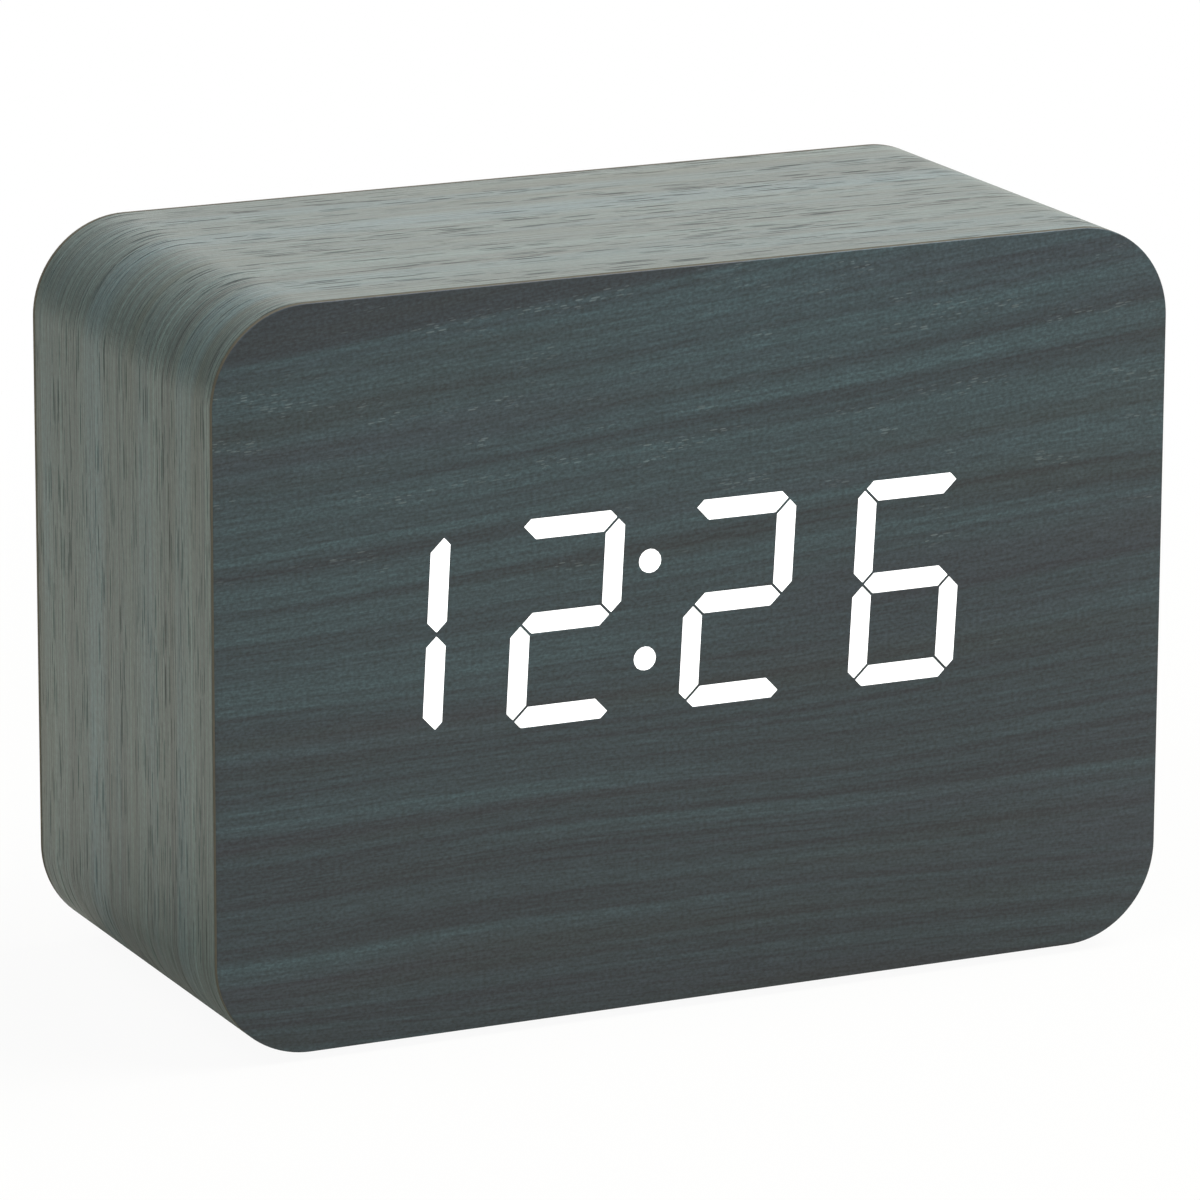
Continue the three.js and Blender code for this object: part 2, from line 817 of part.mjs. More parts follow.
// The rear panel, its door and the boards that it carries
function panelOutline(inset) {
  return roundedRectangle(0, caseMiddle, panelHalfWidth - inset, panelHalfHeight - inset, panelCorner - inset);
}

function openingOutline() {
  return roundedRectangle(0, caseMiddle, openingHalfWidth, openingHalfHeight, cavityCorner / 2);
}

const panelScrews = [-1, 1].flatMap((side) =>
  [-1, 1].map((up) => [
    side * (panelHalfWidth - panelScrewInset),
    caseMiddle + up * (panelHalfHeight - panelScrewInset),
  ]),
);

function rearVeneer() {
  const sheet = caseLayer(0, caseBack - veneerThickness, caseBack);
  return cut(sheet, plate(panelOutline(-panelClearance), caseBack - veneerThickness - overcut, caseBack + overcut));
}

function rearBoard() {
  const rebate = plate(panelOutline(-panelClearance), panelInside - glueLine, rearBoardBack + overcut);
  const opening = plate(openingOutline(), rearBoardFront - overcut, rearBoardBack + overcut);
  const pilotEnd = panelFace - screwHeadHeight - panelScrewLength - screwClearance;
  const pilots = panelScrews.map(([x, z]) =>
    peg(screwRadius + screwClearance, pilotEnd, rearBoardBack, x, z, screwFacets),
  );
  return cut(caseLayer(boardInset, rearBoardFront, rearBoardBack), rebate, opening, ...pilots);
}

function bayHollow() {
  const ends = [bayLeft, bayRight];
  const room = box(
    ends,
    [cellY - cradleDrop, panelFace + overcut],
    [bayZ - bayHalfHeight, bayZ + bayHalfHeight],
  );
  const radius = cellRadius + cellClearance;
  const cradles = cellHeights.map((z) =>
    turnedAlongX([[0, bayLeft], [radius, bayLeft], [radius, bayRight], [0, bayRight]], cellY, z, cellFacets),
  );
  const endRoom = contactThickness + 2 * contactGap;
  const endPockets = [
    [bayLeft, bayLeft + endRoom],
    [bayRight - endRoom, bayRight],
  ].map((span) =>
    box(
      span,
      [cellY - contactHalfWidth - contactGap, cellY],
      [bayZ - bayHalfHeight, bayZ + bayHalfHeight],
    ),
  );
  return joined(room, ...cradles, ...endPockets);
}

function doorPocket() {
  const outline = roundedRectangle(bayX, bayZ, pocketHalfLength, pocketHalfHeight, doorCorner + doorClearance);
  return plate(outline, panelFace - doorThickness - doorSeatGap, panelFace + overcut);
}

const doorHalfLength = pocketHalfLength - doorClearance;
const doorHalfHeight = pocketHalfHeight - doorClearance;
const doorBottom = bayZ - doorHalfHeight;
const doorTop = bayZ + doorHalfHeight;
const hookPlaces = [-1, 1].map((side) => bayX + (side * hookSpacing) / 2);

function hookRooms() {
  const halfWidth = hookWidth / 2 + hookPlay;
  return hookPlaces.map((x) =>
    box(
      [x - halfWidth, x + halfWidth],
      [panelFace - hookSwing - hookLip, panelFace - hookLip],
      [doorBottom - hookReach - hookPlay, bayZ - bayHalfHeight + hookPlay],
    ),
  );
}

function catchGroove() {
  const front = panelFace - doorThickness - doorSeatGap;
  return box(
    [bayX - noseWidth / 2 - doorClearance, bayX + noseWidth / 2 + doorClearance],
    [front, front + noseThickness + 2 * doorSeatGap],
    [doorTop, bayZ + pocketHalfHeight + catchDepth],
  );
}

function tailSlots() {
  return tails.map(({ atRight, z }) => {
    const wall = atRight ? bayRight : bayLeft;
    const inner = atRight ? wall - contactThickness - 2 * contactGap : wall + contactThickness + 2 * contactGap;
    return box(
      [Math.min(wall, inner), Math.max(wall, inner)],
      [bayBack - overcut, cellY],
      [z - tailWidth / 2 - contactGap, z + tailWidth / 2 + contactGap],
    );
  });
}

function countersink(x, z) {
  const top = panelFace;
  const rim = screwHeadRadius + screwClearance;
  const bore = screwRadius + screwClearance;
  const profile = [
    [0, panelInside - overcut],
    [bore, panelInside - overcut],
    [bore, top - screwHeadHeight - screwClearance],
    [rim, top - screwClearance],
    [rim, top + overcut],
    [0, top + overcut],
  ];
  return turned(profile, x, z, screwFacets);
}

function buttonOpenings() {
  const middle = (buttonHeights[0] + buttonHeights[buttonHeights.length - 1]) / 2;
  const halfHeight = (buttonHeights[0] - buttonHeights[buttonHeights.length - 1]) / 2;
  const radius = buttonRadius + buttonRecessMargin;
  const recess = roundedRectangle(columnX, middle, radius, halfHeight + radius, radius);
  const bores = buttonHeights.map((z) =>
    peg(buttonRadius + buttonClearance, panelInside - overcut, panelFace + overcut, columnX, z, buttonFacets),
  );
  return [plate(recess, panelFace - buttonRecess, panelFace + overcut, 4), ...bores];
}

// A socket's outline: flat on top, with its two lower corners cut off
function usbOutline(growth) {
  const [halfWidth, halfHeight] = [usbWidth / 2, usbHeight / 2];
  const corners = [
    [-halfWidth + usbChamfer, -halfHeight],
    [halfWidth - usbChamfer, -halfHeight],
    [halfWidth, -halfHeight + usbChamfer],
    [halfWidth, halfHeight],
    [-halfWidth, halfHeight],
    [-halfWidth, -halfHeight + usbChamfer],
  ];
  return grown(corners.map(([x, z]) => new THREE.Vector2(columnX + x, usbZ + z)), growth);
}

function sounderSlits() {
  const slits = [];
  for (let i = 0; i < slitCount; i += 1) {
    const z = columnZ + buzzerOffsetZ + (i - (slitCount - 1) / 2) * slitPitch;
    const outline = roundedRectangle(columnX + buzzerOffsetX, z, slitLength / 2, slitWidth / 2, slitWidth / 2);
    slits.push(plate(outline, panelInside - overcut, panelFace + overcut, 1));
  }
  return slits;
}

function rearPanel() {
  const bay = box(
    [bayLeft - bayWall, bayRight + bayWall],
    [bayBack, panelInside + panelThickness / 2],
    [bayZ - bayHalfHeight - bayWall, bayZ + bayHalfHeight + bayWall],
  );
  const posts = bosses.map(([x, z]) =>
    peg(bossRadius, controlBoardFace + glueLine, panelInside + panelThickness / 2, x, z),
  );
  const pilots = bosses.map(([x, z]) =>
    peg(
      screwRadius + screwClearance,
      controlBoardFace - overcut,
      controlBoardFace + controlScrewBite + screwClearance,
      x,
      z,
      screwFacets,
    ),
  );
  const microphonePort = peg(
    microphoneHole,
    panelInside - overcut,
    panelFace + overcut,
    columnX + microphoneOffsetX,
    columnZ + microphoneOffsetZ,
    10,
  );
  return cut(
    joined(plate(panelOutline(0), panelInside, panelFace), bay, ...posts),
    bayHollow(),
    doorPocket(),
    catchGroove(),
    ...hookRooms(),
    ...tailSlots(),
    ...panelScrews.map(([x, z]) => countersink(x, z)),
    ...buttonOpenings(),
    outlinePrism(usbOutline(usbClearance), panelInside - overcut, panelFace + overcut),
    microphonePort,
    ...sounderSlits(),
    ...pilots,
  );
}

function batteryDoor() {
  const leaf = roundedRectangle(bayX, bayZ, doorHalfLength, doorHalfHeight, doorCorner);
  const inside = panelFace - doorThickness;
  const hooks = hookPlaces.map((x) =>
    box(
      [x - hookWidth / 2, x + hookWidth / 2],
      [inside, inside + hookThickness],
      [doorBottom - hookReach, doorBottom + hookReach],
    ),
  );
  const nose = box(
    [bayX - noseWidth / 2, bayX + noseWidth / 2],
    [inside, inside + noseThickness],
    [doorTop - noseThickness, doorTop + noseHeight],
  );
  const slits = [-1, 1].map((side) => {
    const x = bayX + (side * (tongueWidth + tongueSlit)) / 2;
    return box(
      [x - tongueSlit / 2, x + tongueSlit / 2],
      [inside - overcut, panelFace + overcut],
      [doorTop - tongueLength, doorTop + overcut],
    );
  });
  const grips = [];
  for (let i = 0; i < gripCount; i += 1) {
    const z = doorTop - (i + 1) * gripPitch;
    const halfWidth = (tongueWidth - gripPitch) / 2;
    grips.push(
      box(
        [bayX - halfWidth, bayX + halfWidth],
        [panelFace - gripDepth, panelFace + overcut],
        [z - gripWidth / 2, z + gripWidth / 2],
      ),
    );
  }
  return cut(joined(plate(leaf, inside, panelFace), ...hooks, nose), ...slits, ...grips);
}

function panelScrew([x, z]) {
  return screw(x, z, panelFace - screwHeadHeight - screwClearance, panelScrewLength, 1, true);
}

function controlBoard() {
  const outline = roundedRectangle(columnX, columnZ, columnHalfWidth, columnHalfHeight, 1);
  const holes = bosses.map(([x, z]) =>
    peg(screwRadius + screwClearance, controlBoardInside - overcut, controlBoardFace + overcut, x, z, screwFacets),
  );
  return cut(plate(outline, controlBoardInside, controlBoardFace), ...holes);
}

function controlScrew([x, z]) {
  const seat = controlBoardInside - glueLine;
  return screw(x, z, seat, controlBoardFace - seat + controlScrewBite, -1, false);
}

// A push button: a domed cap with a collar that keeps it behind the panel
function button(z) {
  const profile = [
    [0, flangeSeat - buttonFlange],
    [buttonFlangeRadius, flangeSeat - buttonFlange],
    [buttonFlangeRadius, flangeSeat],
    [buttonRadius, flangeSeat],
    [buttonRadius, buttonTop - buttonDome],
    [buttonRadius - buttonDome, buttonTop - buttonDome * 0.25],
    [buttonRadius * 0.5, buttonTop],
    [0, buttonTop],
  ];
  return turned(profile, columnX, z, buttonFacets);
}

function plunger(z) {
  return peg(plungerRadius, switchTop - plungerDepth, plungerTop, columnX, z, 12);
}

function tactSwitch(z) {
  const half = switchSize / 2;
  const outline = roundedRectangle(columnX, z, half, half, switchEdge);
  const bore = peg(
    plungerRadius + plungerClearance,
    switchTop - plungerDepth - plungerRoom,
    switchTop + overcut,
    columnX,
    z,
    12,
  );
  return cut(plate(outline, switchBase, switchTop, 1), bore);
}

function buzzer() {
  const [front, back] = [controlBoardFace + glueLine, controlBoardFace + glueLine + buzzerHeight];
  const [x, z] = [columnX + buzzerOffsetX, columnZ + buzzerOffsetZ];
  return cut(peg(buzzerRadius, front, back, x, z, 24), peg(buzzerHole, back - overcut, back + overcut, x, z, 10));
}

function microphone() {
  const front = controlBoardFace + glueLine;
  return peg(
    microphoneRadius,
    front,
    front + microphoneHeight,
    columnX + microphoneOffsetX,
    columnZ + microphoneOffsetZ,
    18,
  );
}

function thermistor() {
  const front = controlBoardFace + glueLine;
  const half = thermistorRadius / 2;
  const profile = [
    [0, front],
    [half, front],
    [half, front + thermistorHeight / 2],
    [thermistorRadius, front + thermistorHeight * 0.65],
    [half, front + thermistorHeight],
    [0, front + thermistorHeight],
  ];
  return turned(profile, columnX + thermistorOffsetX, columnZ + thermistorOffsetZ, 10);
}

function usbSocket() {
  const front = controlBoardFace + glueLine;
  const shell = outlinePrism(usbOutline(0), front, usbMouth);
  return cut(shell, outlinePrism(usbOutline(-usbWall), front + usbWall, usbMouth + overcut));
}

function usbTongue() {
  const bottom = usbZ - usbTongueHeight / 2;
  return box(
    [columnX - usbTongueWidth / 2, columnX + usbTongueWidth / 2],
    [controlBoardFace + usbWall + 2 * glueLine, usbMouth - usbTongueSink],
    [bottom, bottom + usbTongueHeight],
  );
}

// The flat cable between the two boards hangs in a shallow bow, with a plug on each end.
const ribbonFrontX = displayX + flangeHalfWidth - ribbonInset - plugSide - ribbonWidth / 2;

function ribbonCable() {
  const ends = [displayBoardBack + glueLine, controlBoardInside - glueLine];
  const [front, back] = [ends[0] + plugDepth - ribbonThickness / 2, ends[1] - plugDepth + ribbonThickness / 2];
  const z = caseBase + ribbonHeight;
  const place = (share, lift) => {
    const bow = 4 * share * (1 - share) * ribbonSag;
    return [THREE.MathUtils.lerp(front, back, share), z - bow + lift];
  };
  const shape = new THREE.Shape();
  for (let i = 0; i <= ribbonSteps; i += 1) {
    const [y, height] = place(i / ribbonSteps, ribbonThickness / 2);
    if (i === 0) shape.moveTo(y, height);
    else shape.lineTo(y, height);
  }
  for (let i = ribbonSteps; i >= 0; i -= 1) shape.lineTo(...place(i / ribbonSteps, -ribbonThickness / 2));
  shape.closePath();
  const geometry = new THREE.ExtrudeGeometry(shape, { depth: ribbonWidth, bevelEnabled: false });
  geometry.rotateY(Math.PI / 2);
  geometry.rotateX(Math.PI / 2);
  const position = geometry.getAttribute("position");
  for (let i = 0; i < position.count; i += 1) {
    const share = (position.getY(i) - front) / (back - front);
    const centre = THREE.MathUtils.lerp(ribbonFrontX, columnX, share);
    position.setX(i, position.getX(i) - ribbonWidth / 2 + centre);
  }
  const across = (centre) => [centre - ribbonWidth / 2 - plugSide, centre + ribbonWidth / 2 + plugSide];
  const height = [z - plugThickness / 2, z + plugThickness / 2];
  const frontPlug = box(across(ribbonFrontX), [ends[0], ends[0] + plugDepth], height);
  const backPlug = box(across(columnX), [ends[1] - plugDepth, ends[1]], height);
  return joined(frontPlug, toSolid(geometry), backPlug);
}

// A battery lead, from a contact's tail to the back of the control board
function batteryLead({ atRight, z }, padZ) {
  const tailX = atRight
    ? bayRight - contactGap - contactThickness / 2
    : bayLeft + contactGap + contactThickness / 2;
  const start = bayBack - tailReach - leadEndGap;
  const end = controlBoardInside - leadEndGap;
  const padX = columnX - columnHalfWidth + leadRun;
  const run = start - leadRun;
  const points = [
    [tailX, start, z],
    [tailX, start - leadRun * 0.4, z],
    [tailX + leadRun * 0.6, run, z],
    [(tailX + padX) / 2, run, (z + padZ) / 2],
    [padX - leadRun * 0.6, run, padZ],
    [padX, start, padZ],
    [padX, end - leadRun * 0.4, padZ],
    [padX, end, padZ],
  ];
  const curve = new THREE.CatmullRomCurve3(points.map((point) => new THREE.Vector3(...point)), false, "centripetal");
  return wire(curve, leadRadius, leadSides, leadSteps);
}

// Finishes of the real pieces
const finish = (color, roughness, metalness = 0) => ({ color, roughness, metalness });
const finishes = {
  veneer: finish(0x4a5557, 0.6),
  fibreboard: finish(0x8a6f50, 0.9),
  light: { ...finish(0xffffff, 0.5), emissive: 0xffffff },
  whitePlastic: finish(0xeeeeea, 0.4),
  circuitBoard: finish(0x1d5b3c, 0.45),
  blackPlastic: finish(0x202224, 0.55),
  blackMoulding: finish(0x141414, 0.4),
  steel: finish(0x9a9c9e, 0.35, 1),
  nickel: finish(0xc4c0b6, 0.3, 1),
  cellWrap: finish(0x2f5f4a, 0.35, 0.3),
  rubber: finish(0x2b2b2c, 0.85),
  redWire: finish(0xa8201c, 0.5),
  blackWire: finish(0x18181a, 0.5),
  greyCable: finish(0x8d9196, 0.6),
  resin: finish(0x3a4d2c, 0.4),
};

const clock = new THREE.Group();
clock.name = "digital_alarm_clock";
const materials = new Map();

function add(name, finishName, solid) {
  if (!materials.has(finishName)) materials.set(finishName, new THREE.MeshStandardMaterial(finishes[finishName]));
  const mesh = new THREE.Mesh(toGeometry(solid), materials.get(finishName));
  mesh.name = name;
  clock.add(mesh);
}

add("front_veneer", "veneer", frontVeneer());
add("band_veneer", "veneer", bandVeneer());
add("rear_veneer", "veneer", rearVeneer());
add("front_board", "fibreboard", frontBoard());
add("case_ring_front", "fibreboard", caseRing(ringFront, ringJoint - glueLine / 2));
add("case_ring_rear", "fibreboard", caseRing(ringJoint + glueLine / 2, ringBack));
add("rear_board", "fibreboard", rearBoard());

lightNames.forEach((name, digit) => add(name, "light", digitLight(digit)));
add("colon_light", "light", colonLight());
add("reflector_block", "whitePlastic", reflectorBlock());
add("display_board", "circuitBoard", displayBoard());
displayScrews.forEach((place, i) => add(`display_screw_${i + 1}`, "steel", displayScrew(place)));
add("controller_chip", "blackMoulding", controllerChip());
add("clock_crystal", "steel", clockCrystal());

add("rear_panel", "blackPlastic", rearPanel());
add("battery_door", "blackPlastic", batteryDoor());
panelScrews.forEach((place, i) => add(`panel_screw_${i + 1}`, "steel", panelScrew(place)));
cellHeights.forEach((z, i) => add(`cell_${i + 1}`, "cellWrap", cell(z, i % 2 === 0)));
add("contact_negative", "nickel", contactNegative());
add("contact_positive", "nickel", contactPositive());
add("contact_bridge_upper", "nickel", contactBridge(true, middleCell, topCell, middleCell));
add("contact_bridge_lower", "nickel", contactBridge(false, bottomCell, middleCell, bottomCell));

add("control_board", "circuitBoard", controlBoard());
bosses.forEach((place, i) => add(`control_screw_${i + 1}`, "steel", controlScrew(place)));
buttonNames.forEach((name, i) => {
  add(`button_${name}`, "rubber", button(buttonHeights[i]));
  add(`plunger_${name}`, "blackMoulding", plunger(buttonHeights[i]));
  add(`switch_${name}`, "steel", tactSwitch(buttonHeights[i]));
});
add("buzzer", "blackMoulding", buzzer());
add("microphone", "steel", microphone());
add("thermistor", "resin", thermistor());
add("usb_socket", "nickel", usbSocket());
add("usb_tongue", "blackMoulding", usbTongue());
add("ribbon_cable", "greyCable", ribbonCable());
add("battery_lead_negative", "blackWire", batteryLead(tails[0], columnZ + leadRun));
add("battery_lead_positive", "redWire", batteryLead(tails[1], columnZ - leadRun));

[-1, 1].forEach((side) =>
  [-1, 1].forEach((end) => {
    const name = `foot_${end < 0 ? "front" : "rear"}_${side < 0 ? "left" : "right"}`;
    const x = side * (caseWidth / 2 - footInsetX);
    const y = end * (caseDepth / 2 - footInsetY);
    add(name, "rubber", foot(x, y));
  }),
);

export default clock;
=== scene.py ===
# The looks of a veneered digital alarm clock: finer pieces and finishes round its fixed solids.
# X runs to the viewer's right, Y from the clock's front to its back, Z up. Sizes here are millimetres.
import json
import math
from functools import partial

import bmesh
import bpy
from mathutils import Matrix, Vector


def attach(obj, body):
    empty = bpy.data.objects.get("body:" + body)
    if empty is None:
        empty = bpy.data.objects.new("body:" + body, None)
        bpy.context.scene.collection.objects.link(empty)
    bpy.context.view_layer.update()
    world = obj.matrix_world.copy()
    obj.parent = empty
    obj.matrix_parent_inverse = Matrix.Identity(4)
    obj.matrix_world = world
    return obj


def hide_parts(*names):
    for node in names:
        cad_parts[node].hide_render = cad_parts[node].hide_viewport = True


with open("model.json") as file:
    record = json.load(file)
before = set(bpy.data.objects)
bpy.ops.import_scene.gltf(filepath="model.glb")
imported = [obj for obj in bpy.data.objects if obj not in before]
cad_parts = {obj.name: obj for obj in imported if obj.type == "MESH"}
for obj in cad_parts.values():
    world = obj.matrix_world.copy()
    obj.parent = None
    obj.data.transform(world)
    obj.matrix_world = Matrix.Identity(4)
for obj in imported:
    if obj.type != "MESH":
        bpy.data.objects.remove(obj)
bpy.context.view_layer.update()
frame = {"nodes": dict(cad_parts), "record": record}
print("clock: frame loaded")

mm = 0.001  # the frame is in metres
weldReach, flatReach = 1e-7, 1e-6  # in metres
sharpFrom = math.radians(30)
smooth, rgba = {"interpolation_type": "SMOOTHSTEP"}, {"data_type": "RGBA"}
noiseSpan = (0.3, 0.7)  # where most of a noise lies


# Small tools

def linearColour(code):
    parts = [int(code[i:i + 2], 16) / 255 for i in (1, 3, 5)]
    return [p / 12.92 if p <= 0.04045 else ((p + 0.055) / 1.055) ** 2.4 for p in parts] + [1.0]


# Inputs go by name or by number, or are a list. Each takes a value, a socket, or a node, which stands for its
# first output in use. A kind without a prefix is a shader node's.
def addNode(tree, kind, inputs=(), **settings):
    node = tree.nodes.new(kind if "Node" in kind else "ShaderNode" + kind)
    for key, value in settings.items():
        setattr(node, key, value)
    for key, value in inputs.items() if isinstance(inputs, dict) else enumerate(inputs):
        if isinstance(value, bpy.types.Node):
            value = next(output for output in value.outputs if output.enabled)
        if isinstance(value, bpy.types.NodeSocket):
            tree.links.new(value, node.inputs[key])
        else:
            node.inputs[key].default_value = value
    return node


def newMaterial(name):
    material = bpy.data.materials.new(name)
    material.use_nodes = True
    material.node_tree.nodes.clear()
    return material, partial(addNode, material.node_tree)


# Colours laid over each other, each with its cover
def layered(add, base, layers):
    colour = linearColour(base)
    for cover, code in layers:
        colour = add("Mix", {0: cover, 6: colour, 7: linearColour(code)}, **rgba)
    return colour


def closeMaterial(add, surface, look=None, height=None):
    if look:
        surface["Normal"] = add("Bump", {
            "Strength": look["bumpStrength"], "Distance": look["bump"] * mm, "Height": height,
        })
    add("OutputMaterial", {"Surface": add("BsdfPrincipled", surface)})


def newObject(name, data):
    piece = bpy.data.objects.new(name, data)
    bpy.context.scene.collection.objects.link(piece)
    return piece


def meshOf(build):
    build.normal_update()
    mesh = bpy.data.meshes.new("made")
    build.to_mesh(mesh)
    build.free()
    return mesh


def solidOf(build):
    bmesh.ops.recalc_face_normals(build, faces=build.faces)
    return meshOf(build)


def welded(mesh):
    build = bmesh.new()
    build.from_mesh(mesh)
    bmesh.ops.remove_doubles(build, verts=build.verts, dist=weldReach)
    return build


# An object with its modifiers worked out, as a plain mesh at the origin
def plainPiece(host, name):
    graph = bpy.context.evaluated_depsgraph_get()
    graph.update()
    made = host.evaluated_get(graph)
    mesh = bpy.data.meshes.new_from_object(made, preserve_all_data_layers=True, depsgraph=graph)
    bpy.data.objects.remove(host)
    return newObject(name, mesh)


def smoothed(piece):
    piece.data.shade_smooth()
    piece.data.set_sharp_from_angle(angle=sharpFrom)
    return piece


def finished(piece, body, nodes, materials=()):
    for material in materials:
        piece.data.materials.append(material)
    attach(piece, body)
    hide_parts(*nodes)


def newTree(name, sockets):
    tree = bpy.data.node_groups.new(name, "GeometryNodeTree")
    tree.interface.new_socket("Geometry", in_out="INPUT", socket_type="NodeSocketGeometry")
    for label, kind in sockets.items():
        tree.interface.new_socket(label, in_out="INPUT", socket_type="NodeSocket" + kind)
    tree.interface.new_socket("Geometry", in_out="OUTPUT", socket_type="NodeSocketGeometry")
    add = partial(addNode, tree)
    return tree, add, add("NodeGroupInput").outputs


def closeTree(add, geometry, finish):
    real = add("GeometryNodeRealizeInstances", {"Geometry": geometry})
    coated = add("GeometryNodeSetMaterial", {"Geometry": real, "Material": finish})
    add("NodeGroupOutput", {"Geometry": coated})


def throughTree(host, tree, values, name):
    modifier = host.modifiers.new(tree.name, "NODES")
    modifier.node_group = tree
    for item in tree.interface.items_tree:
        if item.item_type == "SOCKET" and item.in_out == "INPUT" and item.name in values:
            modifier[item.identifier] = values[item.name]
    return plainPiece(host, name)


# Camera, floor and light

viewLook = {
    "azimuth": -25.492, "elevation": 14.552, "roll": 0.234,  # the photograph's viewpoint
    "distance": 749.085, "lens": 230.34, "aim": (0.075, -1.813), "centreHeight": 36.85,
    "sensor": 36, "nearest": 0.05, "farthest": 20,  # the last two in metres
}


def placeCamera():
    azimuth, elevation = math.radians(viewLook["azimuth"]), math.radians(viewLook["elevation"])
    back = Vector((
        math.sin(azimuth) * math.cos(elevation),
        -math.cos(azimuth) * math.cos(elevation),
        math.sin(elevation),
    ))
    right = Vector((0, 0, 1)).cross(back).normalized()
    up = back.cross(right)
    roll = Matrix.Rotation(math.radians(viewLook["roll"]), 3, back)
    right, up = roll @ right, roll @ up
    centre = Vector((0, 0, viewLook["centreHeight"]))
    place = centre + back * viewLook["distance"]
    aimRight, aimUp = viewLook["aim"]
    target = centre + right * aimRight + up * aimUp
    away = (place - target).normalized()
    across = up.cross(away).normalized()
    turn = Matrix((across, away.cross(across), away)).transposed()
    data = bpy.data.cameras.new("photoCamera")
    data.lens = viewLook["lens"]
    data.sensor_width = viewLook["sensor"]
    data.clip_start = viewLook["nearest"]
    data.clip_end = viewLook["farthest"]
    camera = newObject("photoCamera", data)
    camera.matrix_world = Matrix.Translation(place * mm) @ turn.to_4x4()
    bpy.context.scene.camera = camera


lightLook = {
    "surround": 0.35,  # how bright the room is for matt surfaces
    "glossHorizon": "#f8f5ea", "glossUpper": "#c0cbd2",  # what gloss sees at eye level and higher up
    "upperSpan": (0.3, 0.75),
    "screen": "#47545e",  # gloss also sees a dark screen behind the clock, to its left
    "screenWay": (-0.474, 0.874, 0.109), "screenSpan": (0.76, 1.12),
    "floorHalf": 4, "floorSpan": (0.1, 0.25),  # in metres: from near the clock to where the floor is all glow
    "floor": "#d6d5ca", "floorGlow": 0.94, "floorGloss": 0.05,
    "lamps": {
        "topSoftbox": {"at": (700, -250, 1150), "size": 870, "power": 21.4},
        "leftSoftbox": {"at": (-360, -160, 560), "size": 300, "power": 1.2},
        "backSoftbox": {"at": (430, 890, 330), "size": 600, "power": 0.45},
    },
}


# Whether a ray comes straight from the camera, and whether it has met gloss or glass
def rayKinds(add):
    path = add("LightPath").outputs
    mirrored = add("Math", [path["Is Glossy Ray"], path["Is Transmission Ray"]], operation="MAXIMUM")
    return path["Is Camera Ray"], mirrored


def setLight():
    look = lightLook
    world = bpy.data.worlds.new("paleRoom")
    bpy.context.scene.world = world
    world.use_nodes = True
    world.node_tree.nodes.clear()
    add = partial(addNode, world.node_tree)
    straight, mirrored = rayKinds(add)
    way = add("TexCoord").outputs["Generated"]
    height = add("SeparateXYZ", [way]).outputs["Z"]
    upper = add("MapRange", [height, *look["upperSpan"]], **smooth)
    toScreen = add("VectorMath", [way, look["screenWay"]], operation="DOT_PRODUCT")
    dim = add("MapRange", [toScreen, *look["screenSpan"]], **smooth)
    seen = layered(add, look["glossHorizon"], [(upper, look["glossUpper"]), (dim, look["screen"])])
    level = look["surround"]
    matt, gloss, white = [
        add("Background", {"Color": colour, "Strength": 1})
        for colour in ([level, level, level, 1], seen, [1, 1, 1, 1])
    ]
    inside = add("MixShader", [mirrored, matt, gloss])
    add("OutputWorld", {"Surface": add("MixShader", [straight, inside, white])})
    for name, lampLook in look["lamps"].items():
        data = bpy.data.lights.new(name, "AREA")
        data.size = lampLook["size"] * mm
        data.energy = lampLook["power"]
        place = Vector(lampLook["at"]) * mm
        toClock = Vector((0, 0, viewLook["centreHeight"] * mm)) - place
        turn = toClock.to_track_quat("-Z", "Y").to_matrix().to_4x4()
        newObject(name, data).matrix_world = Matrix.Translation(place) @ turn


def layFloor():
    look = lightLook
    build = bmesh.new()
    bmesh.ops.create_grid(build, x_segments=1, y_segments=1, size=look["floorHalf"])
    floor = newObject("paleFloor", meshOf(build))
    material, add = newMaterial("paleFloorPaper")
    straight, mirrored = rayKinds(add)
    gloss = add("Math", [mirrored, look["floorGloss"]], operation="MULTIPLY")
    away = add("VectorMath", [add("TexCoord").outputs["Object"]], operation="LENGTH")
    white = add("MapRange", [away, *look["floorSpan"], look["floorGlow"]], **smooth)
    share = add("Math", [straight, white, gloss], operation="MULTIPLY_ADD")
    paper = add("BsdfDiffuse", {"Color": linearColour(look["floor"])})
    glow = add("Emission", {"Color": [1, 1, 1, 1], "Strength": 1})
    add("OutputMaterial", {"Surface": add("MixShader", [share, paper, glow])})
    floor.data.materials.append(material)


placeCamera()
setLight()
layFloor()
bpy.context.scene.view_settings.view_transform = "Standard"
print("clock: camera, light and floor")


# The veneer: sliced ash, stained blue-grey, sanded and sprayed with a satin lacquer

# Lengths run along the grain and widths across it, in mm. Real fibres and pores are finer than these: they
# are drawn as coarse as they need to be to show. A pore fills part of its cell, its reach, and only some
# are kept. First what both veneers share, or leave out at 0 or 1.
veneerBase = {
    "lean": 0, "fan": 0,  # how the grain climbs to the right at the bottom, and how much more for each mm up
    "rise": 0, "paintedShadeSpan": (10, 62),  # painted shade: how much lighter the figure is drawn towards the top and darker towards the bottom
    "topLineSpan": (71.3, 72.2), "topLineTone": 1,  # how much of the blue stain a line along the grain, just under the top edge, keeps
    "vein": "#4f696f", "veinAt": 6.8, "veinHalf": 3, "veinCore": 0.4, "veinShare": 0,
    "poreShadeSpan": (228, 262), "closed": 1,  # painted light: closed is how much of the pore colour the bottom and left side keep, up to the first upper corner
    "hintSize": (90, 6), "hintSpan": (0.5, 0.7), "shadeSpan": (0.25, 0.75), "noiseRoughness": 0.55,
    "poreReach": 0.26, "poreCore": 0.7, "poreLeast": 0.5, "poreFaint": 0.4, "poreDull": 0.4,
    "clusterSoft": 0.12, "bumpStrength": 0.5,
}
